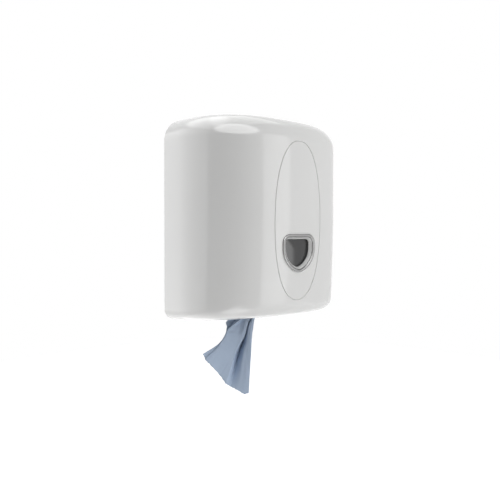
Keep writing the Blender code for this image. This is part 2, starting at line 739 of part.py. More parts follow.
def shelf_bracket(name, side, finish):
    """A gusset under the shelf, with a flange on the plate and another under the tray."""
    top = SHELF_UNDERSIDE - FIT_GAP
    foot = top - BRACKET_DROP
    nose = -ROLL_DEPTH - BRACKET_REACH
    gusset_outline = (
        (SHELF_BACK, top),
        (SHELF_BACK, foot),
        (SHELF_BACK - BRACKET_THICKNESS, foot),
        (nose, top - BRACKET_NOSE),
        (nose, top),
    )
    inner = side * (BRACKET_OFFSET - BRACKET_THICKNESS / 2)
    outer = side * (BRACKET_OFFSET + BRACKET_THICKNESS / 2)
    gusset = prism(gusset_outline, min(inner, outer), max(inner, outer), "X")
    bracket = add_object(name, gusset, finish)
    reach = side * (BRACKET_OFFSET + BRACKET_FLANGE)
    start = side * BRACKET_OFFSET
    low = (min(start, reach), SHELF_BACK - BRACKET_THICKNESS, foot + FIT_GAP)
    high = (max(start, reach), SHELF_BACK - FIT_GAP / 2, top - FIT_GAP)
    fuse(bracket, box(low, high), "rear_flange")
    lip = side * (BRACKET_OFFSET - BRACKET_INNER_LIP)
    low = (min(lip, reach), nose + FIT_GAP, top - BRACKET_THICKNESS)
    high = (max(lip, reach), SHELF_BACK - BRACKET_THICKNESS / 2, top - FIT_GAP / 2)
    fuse(bracket, box(low, high), "top_flange")
    x, z = bracket_screw_spots()[0 if side < 0 else 1]
    hole = rod(SCREW_RADIUS + FIT_GAP, -OVERRUN, BRACKET_THICKNESS + OVERRUN, HOLE_STEPS)
    rear_hole = moved(hole, facing_room(Vector((x, SHELF_BACK, z))))
    upright = rod(SCREW_RADIUS + FIT_GAP, foot, top + OVERRUN, HOLE_STEPS)
    place = Vector((side * tray_screw_offset(), -TRAY_SCREW_DEPTH, 0.0))
    cut(bracket, merged([rear_hole, moved(upright, Matrix.Translation(place))]), "holes")
    return bracket


def screw(name, radius, length, head_radius, head_thickness, place, finish, parent=None):
    """A pan-head screw along Z: the head stands on Z = 0 and the shank runs down."""
    section = (
        (0.0, -length),
        (radius * SCREW_POINT_SHARE, -length),
        (radius, -length + radius),
        (radius, 0.0),
        (head_radius, 0.0),
        (head_radius, head_thickness * SCREW_HEAD_SIDE_SHARE),
        (head_radius * SCREW_CROWN_SHARE, head_thickness),
        (0.0, head_thickness),
    )
    return add_object(name, turned(section, SMALL_STEPS, solid_core=True), finish, parent, place)


def base_screws(finish):
    """The screws that hold the shelf, its brackets and the keeper."""
    sides = ("left", "right")
    rows = (
        ("shelf_screw", sides, shelf_screw_spots(), SHELF_BACK - SHELF_BACK_THICKNESS),
        ("bracket_screw", sides, bracket_screw_spots(), SHELF_BACK - BRACKET_THICKNESS),
        ("keeper_screw", ("lower", "upper"), keeper_screw_spots(), SHELF_BACK - KEEPER_THICKNESS),
    )
    head = (SCREW_HEAD_RADIUS, SCREW_HEAD_THICKNESS)
    for name, words, spots, face in rows:
        for word, (x, z) in zip(words, spots):
            place = facing_room(Vector((x, face - FIT_GAP, z)))
            screw(f"{name}_{word}", SCREW_RADIUS, -face - FIT_GAP, *head, place, finish)
    level = SHELF_UNDERSIDE - BRACKET_THICKNESS - 2 * FIT_GAP
    length = SHELF_LEVEL - level - FIT_GAP
    for word, side in zip(sides, (-1, 1)):
        spot = Vector((side * tray_screw_offset(), -TRAY_SCREW_DEPTH, level))
        screw(f"tray_screw_{word}", SCREW_RADIUS, length, *head, upside_down(spot), finish)


def nozzle_matrix():
    """Puts the nozzle's axis on the roll's, with Z = 0 on the shelf."""
    return Matrix.Translation(ROLL_CENTRE + Vector((0.0, 0.0, SHELF_LEVEL)))


def feed_nozzle(finish):
    """A funnel in the shelf's hole; its exit rim is cut into teeth that hold the paper."""
    top = -FIT_GAP
    under = top - NOZZLE_FLANGE_THICKNESS
    body_foot = under - NOZZLE_BODY_HEIGHT
    lip = NOZZLE_LIP_HEIGHT - NOZZLE_EXIT_DROP
    end = -NOZZLE_EXIT_DROP
    mouth = NOZZLE_BODY_RADIUS - NOZZLE_WALL
    exit_outer = NOZZLE_EXIT_RADIUS + NOZZLE_WALL
    section = (
        (NOZZLE_FLANGE_RADIUS, under),
        (NOZZLE_BODY_RADIUS, under),
        (NOZZLE_BODY_RADIUS, body_foot),
        (exit_outer, lip),
        (exit_outer, end),
        (NOZZLE_EXIT_RADIUS, end),
        (NOZZLE_EXIT_RADIUS, lip),
        (mouth, body_foot + NOZZLE_WALL),
        (mouth, under - NOZZLE_WALL),
        (NOZZLE_BODY_RADIUS, top),
        (NOZZLE_FLANGE_RADIUS, top),
    )
    shape = turned(section, NOZZLE_STEPS)
    for vertex in shape.verts:
        turn = math.atan2(vertex.co.y, vertex.co.x) / math.tau * NOZZLE_STEPS
        if vertex.co.z <= end + EMBED / 2 and round(turn) % 2:
            vertex.co.z += NOZZLE_TOOTH
    return add_object("feed_nozzle", shape, finish, place=nozzle_matrix())


def nozzle_ring(finish):
    """The ring nut under the shelf that draws the nozzle's flange down."""
    inner = NOZZLE_BODY_RADIUS + FIT_GAP
    outer = inner + RING_WALL
    top = -SHELF_THICKNESS - FIT_GAP
    section = ((outer, top - RING_HEIGHT), (inner, top - RING_HEIGHT), (inner, top), (outer, top))
    ring = add_object("nozzle_ring", turned(section, NOZZLE_STEPS), finish, place=nozzle_matrix())
    notches = []
    for x, y in circle(outer, RING_NOTCHES):
        notch = rod(RING_NOTCH_RADIUS, top - RING_HEIGHT - OVERRUN, top + OVERRUN, NOTCH_STEPS)
        notches.append(moved(notch, Matrix.Translation((x, y, 0.0))))
    cut(ring, merged(notches), "notches")
    return ring


def paper_roll(finish):
    """The coreless roll that stands on the shelf."""
    low = SHELF_LEVEL + FIT_GAP
    high = low + ROLL_HEIGHT
    section = (
        (ROLL_RADIUS, low + ROLL_EDGE),
        (ROLL_RADIUS - ROLL_EDGE, low),
        (ROLL_BORE_RADIUS, low),
        (ROLL_BORE_RADIUS, high),
        (ROLL_RADIUS - ROLL_EDGE, high),
        (ROLL_RADIUS, high - ROLL_EDGE),
    )
    return add_object("paper_roll", turned(section, ROLL_STEPS), finish, place=Matrix.Translation(ROLL_CENTRE))


def hinge_matrix(side):
    """Puts a shape's Z axis on the hinge's axis in one lug, pointing outwards."""
    place = Matrix.Translation((side * LUG_MIDDLE, HINGE_Y, HINGE_Z))
    return place @ Matrix.Rotation(side * math.pi / 2, 4, "Y")


def bush_radius():
    return PIN_RADIUS + FIT_GAP + BUSH_WALL


def hinge_bush(name, side, finish):
    """A flanged plastic bush in the lug, its flange on the inner side."""
    inner = PIN_RADIUS + FIT_GAP
    outer = bush_radius()
    flange_back = -LUG_THICKNESS / 2 - FIT_GAP
    flange_front = flange_back - BUSH_FLANGE_THICKNESS
    end = LUG_THICKNESS / 2 + FIT_GAP
    section = (
        (inner, flange_front),
        (BUSH_FLANGE_RADIUS, flange_front),
        (BUSH_FLANGE_RADIUS, flange_back),
        (outer, flange_back),
        (outer, end),
        (inner, end),
    )
    return add_object(name, turned(section, SMALL_STEPS), finish, place=hinge_matrix(side))


def cam_centre():
    """The middle of the cam, where the lock's axis meets it."""
    return lock_matrix() @ Vector((0.0, 0.0, -BARREL_LENGTH - FIT_GAP - CAM_THICKNESS / 2))


def keeper_arm():
    """X of the keeper's arm, just past the cam's reach."""
    return CAM_LENGTH + KEEPER_SPACE


def latch_keeper(finish):
    """A steel strike on the plate: foot, arm and a lip that stands in front of the locked cam."""
    middle = cam_centre()
    low = middle.z - KEEPER_HEIGHT / 2
    high = middle.z + KEEPER_HEIGHT / 2
    arm = keeper_arm()
    lip_rear = middle.y - CAM_WIDTH / 2 - RUNNING_GAP
    rear = SHELF_BACK
    outline = (
        (arm + KEEPER_THICKNESS + KEEPER_FOOT, rear),
        (arm, rear),
        (arm, lip_rear),
        (KEEPER_MOUTH, lip_rear),
        (KEEPER_MOUTH, lip_rear - KEEPER_THICKNESS),
        (arm + KEEPER_THICKNESS, lip_rear - KEEPER_THICKNESS),
        (arm + KEEPER_THICKNESS, rear - KEEPER_THICKNESS),
        (arm + KEEPER_THICKNESS + KEEPER_FOOT, rear - KEEPER_THICKNESS),
    )
    keeper = add_object("latch_keeper", prism(outline, low, high), finish)
    half = KEEPER_FOOT_HEIGHT / 2
    foot_low = (arm + KEEPER_THICKNESS / 2, rear - KEEPER_THICKNESS + FIT_GAP / 2, middle.z - half)
    foot_high = (arm + KEEPER_THICKNESS + KEEPER_FOOT - FIT_GAP, rear - FIT_GAP / 2, middle.z + half)
    fuse(keeper, box(foot_low, foot_high), "foot")
    holes = []
    for x, z in keeper_screw_spots():
        hole = rod(SCREW_RADIUS + FIT_GAP, -OVERRUN, KEEPER_THICKNESS + OVERRUN, HOLE_STEPS)
        holes.append(moved(hole, facing_room(Vector((x, rear, z)))))
    cut(keeper, merged(holes), "holes")
    return keeper


# Cover pieces


def ear_outline():
    """A hinge ear from the side as (y, z), standing on the cover's bottom."""
    foot = -HALF_HEIGHT + COVER_WALL - EMBED
    top = arc((HINGE_Y, HINGE_Z), EAR_RADIUS, math.pi, 0.0, EAR_STEPS)
    return [(HINGE_Y - EAR_RADIUS, foot)] + top + [(HINGE_Y + EAR_RADIUS, foot)]


def ear_middles(side):
    """X of the inner and the outer ear beside one lug."""
    offset = LUG_THICKNESS / 2 + EAR_SPACE + EAR_THICKNESS / 2
    return side * (LUG_MIDDLE - offset), side * (LUG_MIDDLE + offset)


def cover_shell(finish, parent):
    shell = add_object("cover_shell", cover_skin(), finish, parent)
    floor, _, _, _, sleeve_end = window_planes()
    pad_front = front_face(SHIELD_WIDTH / 2, SHIELD_LEVEL - SHIELD_DROP) + COVER_WALL / 2
    fuse(shell, prism(shield(-PAD_BORDER), pad_front, sleeve_end, "Y"), "window_pad")
    ears = []
    for side in (-1, 1):
        for middle in ear_middles(side):
            ears.append(prism(ear_outline(), middle - EAR_THICKNESS / 2, middle + EAR_THICKNESS / 2, "X"))
    fuse(shell, merged(ears), "ears")
    window = prism(shield(SLEEVE_INSET - FIT_GAP), floor - OVERRUN, sleeve_end + OVERRUN, "Y")
    cut(shell, window, "window")
    pocket = prism(shield(-FIT_GAP), floor, floor - POCKET_DEPTH - 2 * OVERRUN, "Y")
    cut(shell, pocket, "pocket")
    outlet = prism(outlet_outline(), -HALF_HEIGHT - OVERRUN, -HALF_HEIGHT + BOTTOM_RISE + COVER_WALL + OVERRUN)
    lock_bore = rod(BARREL_RADIUS + FIT_GAP, -2 * COVER_WALL, OVERRUN, ROUND_STEPS)
    openings = [outlet, moved(lock_bore, lock_matrix())]
    for side in (-1, 1):
        half = LUG_THICKNESS / 2 + RUNNING_GAP
        middle = side * LUG_MIDDLE
        notch_front = HINGE_Y - LUG_RADIUS - EAR_SPACE
        notch_top = HINGE_Z - PIN_RADIUS
        low = (middle - half, notch_front, -HALF_HEIGHT - OVERRUN)
        openings.append(box(low, (middle + half, OVERRUN, notch_top)))
    for x, z in window_screw_spots():
        hole = rod(WINDOW_SCREW_RADIUS + FIT_GAP, 0.0, WINDOW_SCREW_LENGTH + OVERRUN, FINE_HOLE_STEPS)
        openings.append(moved(hole, facing_room(Vector((x, sleeve_end + OVERRUN / 2, z)))))
    cut(shell, merged(openings), "openings")
    bores = []
    for side in (-1, 1):
        reach = LUG_THICKNESS / 2 + EAR_SPACE + EAR_THICKNESS + OVERRUN
        bore = rod(PIN_RADIUS + FIT_GAP, -reach, reach, HOLE_STEPS)
        bores.append(moved(bore, along_x(Vector((side * LUG_MIDDLE, HINGE_Y, HINGE_Z)))))
    cut(shell, merged(bores), "pin_bores")
    cut(shell, groove_ring(), "groove")
    return shell


def window_bezel(finish, parent):
    """A flange on the front, a bevel, and a sleeve through the cover with a seat for the lens."""
    _, flange_back, flange_front, lens_seat, sleeve_end = window_planes()
    opening = FLANGE_LAND + BEVEL_WIDTH
    seat_inset = SLEEVE_INSET + SLEEVE_WALL
    section = (
        (0.0, flange_back),
        (0.0, flange_front + FLANGE_CHAMFER),
        (FLANGE_CHAMFER, flange_front),
        (FLANGE_LAND, flange_front),
        (opening, flange_front + BEVEL_DEPTH),
        (opening, lens_seat),
        (seat_inset, lens_seat),
        (seat_inset, sleeve_end),
        (SLEEVE_INSET, sleeve_end),
        (SLEEVE_INSET, flange_back),
    )
    return add_object("window_bezel", shield_ring(section), finish, parent)


def window_lens(finish, parent):
    _, _, _, lens_seat, _ = window_planes()
    outline = shield(SLEEVE_INSET + SLEEVE_WALL + FIT_GAP)
    front = lens_seat + FIT_GAP
    return add_object("window_lens", prism(outline, front, front + LENS_THICKNESS, "Y"), finish, parent)


def window_retainer(finish, parent):
    """The frame behind the lens, screwed to the cover's thick rim."""
    sleeve_end = window_planes()[-1]
    front = sleeve_end + FIT_GAP
    rear = front + RETAINER_THICKNESS
    outer = -PAD_BORDER + FIT_GAP
    section = (
        (outer, front),
        (outer, rear),
        (RETAINER_OPENING_INSET, rear),
        (RETAINER_OPENING_INSET, front),
    )
    frame = add_object("window_retainer", shield_ring(section), finish, parent)
    holes = []
    for x, z in window_screw_spots():
        hole = rod(WINDOW_SCREW_RADIUS + FIT_GAP, -OVERRUN, RETAINER_THICKNESS + OVERRUN, FINE_HOLE_STEPS)
        holes.append(moved(hole, facing_wall(Vector((x, front, z)))))
    cut(frame, merged(holes), "holes")
    return frame


def window_screws(finish, parent):
    """Four small screws whose heads lie behind the retainer."""
    face = window_planes()[-1] + RETAINER_THICKNESS + 2 * FIT_GAP
    radius = WINDOW_SCREW_RADIUS
    words = ("upper_left", "upper_right", "lower_left", "lower_right")
    for word, (x, z) in zip(words, window_screw_spots()):
        place = facing_wall(Vector((x, face, z)))
        screw(f"window_screw_{word}", radius, WINDOW_SCREW_LENGTH, 2 * radius, radius, place, finish, parent)


def pin_ends():
    """Along the pin from the lug's middle outwards: head's outer face, head's seat, groove's middle and tip."""
    inner_ear = LUG_THICKNESS / 2 + EAR_SPACE + EAR_THICKNESS
    seat = -inner_ear - FIT_GAP
    groove = inner_ear + FIT_GAP + CLIP_THICKNESS / 2
    return seat - PIN_HEAD_THICKNESS, seat, groove, groove + PIN_TAIL


def hinge_pin(name, side, finish, parent):
    """A headed pin through both ears and the bush, with a groove for its clip."""
    head, seat, groove, tip = pin_ends()
    half = CLIP_THICKNESS / 2 + FIT_GAP
    section = (
        (0.0, head),
        (PIN_HEAD_RADIUS, head),
        (PIN_HEAD_RADIUS, seat),
        (PIN_RADIUS, seat),
        (PIN_RADIUS, groove - half),
        (CLIP_GROOVE_RADIUS, groove - half),
        (CLIP_GROOVE_RADIUS, groove + half),
        (PIN_RADIUS, groove + half),
        (PIN_RADIUS, tip - PIN_RADIUS / 2),
        (PIN_RADIUS / 2, tip),
        (0.0, tip),
    )
    shape = turned(section, SMALL_STEPS, solid_core=True)
    return add_object(name, shape, finish, parent, hinge_matrix(side))


def pin_clip(name, side, finish, parent):
    """An open ring in the pin's groove."""
    groove = pin_ends()[2]
    inner = CLIP_GROOVE_RADIUS + FIT_GAP
    opening = CLIP_MOUTH / 2
    near = math.asin(opening / inner)
    far = math.asin(opening / CLIP_RADIUS)
    outline = arc((0.0, 0.0), CLIP_RADIUS, far, math.tau - far, CLIP_STEPS)
    outline += arc((0.0, 0.0), inner, math.tau - near, near, CLIP_STEPS)
    ring = prism(outline, groove - CLIP_THICKNESS / 2, groove + CLIP_THICKNESS / 2)
    return add_object(name, ring, finish, parent, hinge_matrix(side))


# Lock pieces, modelled along the lock's own axis with Z = 0 on the cover's top face


def lock_matrix():
    """Puts the lock's axis square to the cover's sloping top."""
    top = formed(0.0, -LOCK_DEPTH, HALF_HEIGHT)
    return Matrix.Translation(top) @ Matrix.Rotation(LOCK_TILT, 4, "X")


def lock_barrel(finish, parent):
    bore = PLUG_RADIUS + FIT_GAP
    head_bore = PLUG_HEAD_RADIUS + FIT_GAP
    top = FIT_GAP + BARREL_FLANGE_THICKNESS
    shoulder = top - PLUG_HEAD_THICKNESS - FIT_GAP
    section = (
        (BARREL_FLANGE_RADIUS, FIT_GAP),
        (BARREL_FLANGE_RADIUS, top - BARREL_CHAMFER),
        (BARREL_FLANGE_RADIUS - BARREL_CHAMFER, top),
        (head_bore, top),
        (head_bore, shoulder),
        (bore, shoulder),
        (bore, -BARREL_LENGTH),
        (BARREL_RADIUS, -BARREL_LENGTH),
        (BARREL_RADIUS, FIT_GAP),
    )
    return add_object("lock_barrel", turned(section, ROUND_STEPS), finish, parent, lock_matrix())


def lock_nut(finish, parent):
    """The six-sided nut that clamps the barrel to the cover's top."""
    top = -COVER_WALL - FIT_GAP
    corners = [Vector((x, y, 0.0)) for x, y in circle(NUT_RADIUS, NUT_SIDES)]
    rim = []
    for corner, after in zip(corners, corners[1:] + corners[:1]):
        rim += [corner.lerp(after, index / NUT_SIDE_POINTS) for index in range(NUT_SIDE_POINTS)]
    bore = [Vector((x, y, 0.0)) for x, y in circle(BARREL_RADIUS + FIT_GAP, len(rim))]
    down = Vector((0.0, 0.0, top - NUT_THICKNESS))
    up = Vector((0.0, 0.0, top))
    loops = [[p + down for p in rim], [p + down for p in bore], [p + up for p in bore], [p + up for p in rim]]
    return add_object("lock_nut", skin(bmesh.new(), loops, closed_loops=True), finish, parent, lock_matrix())


def lock_plug(finish, parent):
    """The part that the key turns, with a square end for the cam."""
    top = FIT_GAP + BARREL_FLANGE_THICKNESS
    section = (
        (0.0, -BARREL_LENGTH),
        (PLUG_RADIUS, -BARREL_LENGTH),
        (PLUG_RADIUS, top - PLUG_HEAD_THICKNESS),
        (PLUG_HEAD_RADIUS, top - PLUG_HEAD_THICKNESS),
        (PLUG_HEAD_RADIUS, top),
        (0.0, top),
    )
    shape = turned(section, ROUND_STEPS, solid_core=True)
    plug = add_object("lock_plug", shape, finish, parent, lock_matrix())
    half = CAM_SQUARE / 2
    end = -BARREL_LENGTH - CAM_THICKNESS
    fuse(plug, box((-half, -half, end), (half, half, -BARREL_LENGTH + EMBED)), "square")
    key = (KEY_SLOT_WIDTH / 2, KEY_SLOT_LENGTH / 2)
    slot = box((-key[0], -key[1], top - KEY_SLOT_DEPTH), (key[0], key[1], top + OVERRUN))
    hole = rod(CAM_SCREW_RADIUS + FIT_GAP, end - OVERRUN, end + CAM_SCREW_LENGTH, HOLE_STEPS)
    cut(plug, merged([slot, hole]), "slot")
    return plug


def lock_cam(finish, parent):
    """The tongue, which points to the wall when the lock is open."""
    half = CAM_WIDTH / 2
    start = math.asin(half / CAM_HUB_RADIUS)
    hub = arc((0.0, 0.0), CAM_HUB_RADIUS, math.pi / 2 + start, math.tau + math.pi / 2 - start, HUB_STEPS)
    tongue = arc((0.0, CAM_LENGTH - half), half, 0.0, math.pi, CAM_TIP_STEPS)
    top = -BARREL_LENGTH - FIT_GAP
    shape = prism(hub + tongue, top - CAM_THICKNESS, top)
    cam = add_object("lock_cam", shape, finish, parent, lock_matrix())
    hole = CAM_SQUARE / 2 + FIT_GAP
    low = (-hole, -hole, top - CAM_THICKNESS - OVERRUN)
    cut(cam, box(low, (hole, hole, top + OVERRUN)), "square_hole")
    return cam


def cam_screw(finish, parent):
    place = lock_matrix() @ upside_down((0.0, 0.0, -BARREL_LENGTH - CAM_THICKNESS - 2 * FIT_GAP))
    head = (CAM_SCREW_HEAD_RADIUS, CAM_SCREW_HEAD_THICKNESS)
    return screw("cam_screw", CAM_SCREW_RADIUS, CAM_SCREW_LENGTH, *head, place, finish, parent)


# Paper that hangs from the nozzle


def throat_corner(index, scale):
    """Fold corner in the nozzle's throat: the paper goes through it folded to and fro."""
    last = len(TAIL_EDGE) - 1
    across = 2 * index / last - 1
    depth_share = 1 if index % 2 == 0 else -1
    return Vector((THROAT_HALF_WIDTH * across, THROAT_HALF_DEPTH * depth_share)) * scale


def softened(corners):
    """Points along a folded line, with its corners a little rounded."""
    points = [corners[0]]
    for before, after in zip(corners, corners[1:]):
        for step in range(1, TAIL_LEG_POINTS + 1):
            points.append(before.lerp(after, step / TAIL_LEG_POINTS))
    smooth = [points[0]]
    for before, point, after in zip(points, points[1:], points[2:]):
        smooth.append(point + TAIL_SOFTENING_SHARE * (before + after - 2 * point))
    return smooth + [points[-1]]


def thickened(line):
    """A closed loop round a line of points, half the paper's thickness to each side in plan."""
    front = []
    back = []
    for index, point in enumerate(line):
        before = line[max(index - 1, 0)]
        after = line[min(index + 1, len(line) - 1)]
        ahead = Vector((after.x - before.x, after.y - before.y))
        ahead.normalize()
        side = Vector((ahead.y, -ahead.x, 0.0)) * TAIL_THICKNESS / 2
        front.append(point + side)
        back.append(point - side)
    return front + back[::-1]


def paper_tail(finish):
    """The folded paper from the roll's bore through the nozzle, fanned out below it."""
    last = len(TAIL_EDGE)
    lines = []
    column = (
        (NOZZLE_EXIT + TAIL_FLARE_START + TAIL_TOP, TAIL_FLARE_SCALE),
        (NOZZLE_EXIT + TAIL_FLARE_START + TAIL_TOP / 2, (1 + TAIL_FLARE_SCALE) / 2),
        (NOZZLE_EXIT + TAIL_FLARE_START, 1.0),
        (NOZZLE_EXIT + TAIL_FLARE_START / 2, 1.0),
        (NOZZLE_EXIT, 1.0),
    )
    for level, scale in column:
        corners = [throat_corner(index, scale) for index in range(last)]
        lines.append([Vector((corner.x, corner.y, level)) for corner in corners])
    throat = lines[-1]
    hanging = [Vector((x, y, NOZZLE_EXIT + z)) for x, y, z in TAIL_EDGE]
    for row in range(1, TAIL_ROWS + 1):
        share = row / TAIL_ROWS
        lines.append([start.lerp(end, share) for start, end in zip(throat, hanging)])
    loops = [thickened(softened(line)) for line in lines]
    return add_object("paper_tail", skin(bmesh.new(), loops), finish, place=Matrix.Translation(ROLL_CENTRE))


def axis_empty(name, place, parent=None):
    """An empty on a joint's axis, which carries the pieces that move about it."""
    empty = bpy.data.objects.new(name, None)
    bpy.context.scene.collection.objects.link(empty)
    if parent:
        empty.parent = parent
        empty.matrix_parent_inverse = parent.matrix_basis.inverted()
    empty.matrix_basis = place
    return empty


def main():
    clear_scene()
    white = material("white_gloss_plastic", (0.80, 0.80, 0.79), 0.22)
    inner_white = material("white_satin_plastic", (0.72, 0.72, 0.71), 0.45)
    grey = material("grey_plastic", (0.20, 0.21, 0.22), 0.5)
    silver = material("silver_bezel", (0.52, 0.53, 0.54), 0.3, 0.6)
    smoked = material("smoked_lens", (0.03, 0.033, 0.036), 0.1)
    steel = material("zinc_plated_steel", (0.55, 0.55, 0.54), 0.35, 1.0)
    chrome = material("lock_chrome", (0.75, 0.75, 0.76), 0.15, 1.0)
    paper = material("blue_paper", (0.28, 0.37, 0.50), 0.9)
    cover = axis_empty("cover_axis", Matrix.Translation((0.0, HINGE_Y, HINGE_Z)))
    lock = axis_empty("lock_axis", lock_matrix(), cover)

    back_plate(inner_white)
    roll_shelf(inner_white)
    base_screws(steel)
    feed_nozzle(grey)
    nozzle_ring(grey)
    paper_roll(paper)
    latch_keeper(steel)
    paper_tail(paper)

    cover_shell(white, cover)
    window_bezel(silver, cover)
    window_lens(smoked, cover)
    window_retainer(grey, cover)
    window_screws(steel, cover)
    lock_barrel(chrome, cover)
    lock_nut(steel, cover)
    lock_plug(chrome, lock)
    lock_cam(steel, lock)
    cam_screw(steel, lock)

    for word, side in (("left", -1), ("right", 1)):
        shelf_bracket(f"shelf_bracket_{word}", side, steel)
        hinge_bush(f"hinge_bush_{word}", side, grey)
        hinge_pin(f"hinge_pin_{word}", side, steel, cover)
        pin_clip(f"pin_clip_{word}", side, steel, cover)


main()
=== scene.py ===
"""Looks of a wall-hung centrefeed roll dispenser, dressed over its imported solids.

Metres, +Z up, the wall is the plane Y = 0 and the front faces -Y. The sizes that a new piece shares
with the solids are repeated here under the same names.
"""

import math

import bmesh
import bpy
from mathutils import Matrix, Vector, interpolate, noise
from mathutils.bvhtree import BVHTree


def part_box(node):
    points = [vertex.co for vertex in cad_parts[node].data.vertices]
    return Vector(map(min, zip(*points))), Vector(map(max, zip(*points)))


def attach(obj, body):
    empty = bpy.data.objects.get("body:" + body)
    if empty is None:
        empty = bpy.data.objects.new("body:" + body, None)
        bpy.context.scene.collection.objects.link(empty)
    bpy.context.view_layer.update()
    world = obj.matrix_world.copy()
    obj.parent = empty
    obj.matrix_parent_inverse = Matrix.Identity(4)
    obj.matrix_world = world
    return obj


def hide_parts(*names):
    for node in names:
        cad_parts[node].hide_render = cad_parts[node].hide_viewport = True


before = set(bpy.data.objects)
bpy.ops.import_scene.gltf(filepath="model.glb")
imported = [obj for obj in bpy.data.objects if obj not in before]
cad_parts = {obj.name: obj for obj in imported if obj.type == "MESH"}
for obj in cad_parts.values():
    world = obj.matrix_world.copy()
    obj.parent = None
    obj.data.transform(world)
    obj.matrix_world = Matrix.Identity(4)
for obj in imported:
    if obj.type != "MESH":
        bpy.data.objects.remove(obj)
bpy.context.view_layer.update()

# Sizes of the solids
HALF_WIDTH = 0.128
COVER_DEPTH = 0.208
HALF_HEIGHT = 0.170
COVER_WALL = 0.003
COVER_WALL_GAP = 0.005
SIDE_DEPTH = 0.056
FRONT_CURVE_DEPTH = 0.152
TOP_FILLET = 0.040
BOTTOM_FILLET = 0.019
FRONT_LEAN = 0.008
LEAN_START = 0.027
TOP_FALL = 0.028
BOTTOM_RISE = 0.026
PLAN_POWER = 2.6
OUTLET_LEDGE = 0.009
OUTLET_REAR = 0.045
GROOVE_HALF_WIDTH = 0.0415
GROOVE_LEVEL = -0.009
GROOVE_RADIUS = 0.0008
GROOVE_POWER = 2.25
FIT_GAP = 0.0003
RUNNING_GAP = 0.0008
OVERRUN = 0.002
SHIELD_WIDTH = 0.056
SHIELD_RISE = 0.020
SHIELD_DROP = 0.036
SHIELD_LEVEL = -0.046
SHIELD_TIP = 0.0022
POCKET_DEPTH = 0.0012
FLANGE_THICKNESS = 0.0024
SLEEVE_INSET = 0.0020
SLEEVE_WALL = 0.0016
SLEEVE_DEPTH = 0.0092
PAD_BORDER = 0.006
LENS_THICKNESS = 0.002
WINDOW_SCREW_OUTSET = 0.002
WINDOW_SCREW_RADIUS = 0.0011
WINDOW_SCREW_SPREAD_SHARES = (0.0, 0.55)
HINGE_Y = -0.016
HINGE_Z = -0.159
LUG_MIDDLE = 0.100
LUG_THICKNESS = 0.006
LUG_RADIUS = 0.0065
EAR_SPACE = 0.0022
EAR_THICKNESS = 0.004
EAR_RADIUS = 0.006
PIN_RADIUS = 0.002
ROLL_RADIUS = 0.090
ROLL_HEIGHT = 0.200
ROLL_BORE_RADIUS = 0.030
ROLL_DEPTH = 0.100
SHELF_LEVEL = -0.119
NOZZLE_BODY_RADIUS = 0.0355
NOZZLE_FLANGE_RADIUS = 0.0415
NOZZLE_FLANGE_THICKNESS = 0.0014
NOZZLE_BODY_HEIGHT = 0.011
NOZZLE_WALL = 0.0025
NOZZLE_EXIT_RADIUS = 0.0105
NOZZLE_EXIT_DROP = 0.029
NOZZLE_LIP_HEIGHT = 0.003
NOZZLE_TOOTH = 0.0014
NOZZLE_EXIT = -0.148
LOCK_DEPTH = 0.030
BARREL_RADIUS = 0.008
BARREL_LENGTH = 0.016
BARREL_FLANGE_RADIUS = 0.011
BARREL_FLANGE_THICKNESS = 0.0018
PLUG_RADIUS = 0.005
PLUG_HEAD_RADIUS = 0.0062
PLUG_HEAD_THICKNESS = 0.0028
KEY_SLOT_WIDTH = 0.0018
KEY_SLOT_LENGTH = 0.0072
KEY_SLOT_DEPTH = 0.008
CAM_THICKNESS = 0.002
CAM_SQUARE = 0.005

# Sizes and counts of the looks alone
PLAN_STEPS = 56
FILLET_STEPS = 14
WALL_STEPS = 44
RIM_ROUND = 0.0005
GROOVE_RISE = 0.118
GROOVE_DROP = 0.113
GROOVE_WIDTH_SHARE = 0.8
GROOVE_DEPTH_SHARE = 2.0
SHIELD_SPREAD = 0.001
SHIELD_CORNER = 0.013
SHIELD_STEPS = 28
POCKET_GAP = 0.0008
BEAD_WIDTH = 0.0039
COLLAR_GAP = 0.0006
BEZEL_OPENING = 0.0073
BEZEL_CONE_DEPTH = 0.0060
WINDOW_SCREW_BORE = 0.0075
NOZZLE_TEETH = 20
SHARP_ANGLE = math.radians(32)
EASED_ANGLE = math.radians(50)
ROLL_CENTRE = Vector((0.0, -ROLL_DEPTH, 0.0))
WHITE = (1.0, 1.0, 1.0, 1.0)


# Materials

# A pattern's scale is 1000 over its size in millimetres, which each material's words give.


def linear(code):
    """An sRGB hex colour as linear RGBA."""
    parts = [int(code[start : start + 2], 16) / 255 for start in (0, 2, 4)]
    return (*[p / 12.92 if p <= 0.04045 else ((p + 0.055) / 1.055) ** 2.4 for p in parts], 1.0)


def wired(tree, target, sockets):
    """Sets a node's inputs, each to a value or to an output; a node stands for its first output."""
    for key, value in sockets.items():
        if isinstance(value, bpy.types.Node):
            value = value.outputs[0]
        if isinstance(value, bpy.types.NodeSocket):
            tree.links.new(value, target.inputs[key])
        else:
            target.inputs[key].default_value = value


def node(tree, kind, sockets=(), **settings):
    """Adds one shader node with its settings and what goes into its inputs."""
    made = tree.nodes.new("ShaderNode" + kind)
    for name, value in settings.items():
        setattr(made, name, value)
    wired(tree, made, dict(sockets))
    return made


def finish(name, **sockets):
    """A Principled material with the values that are the same all over set on the shader."""
    made = bpy.data.materials.new(name)
    made.use_nodes = True
    shader = made.node_tree.nodes["Principled BSDF"]
    wired(made.node_tree, shader, {key.replace("_", " "): value for key, value in sockets.items()})
    return made, made.node_tree, shader


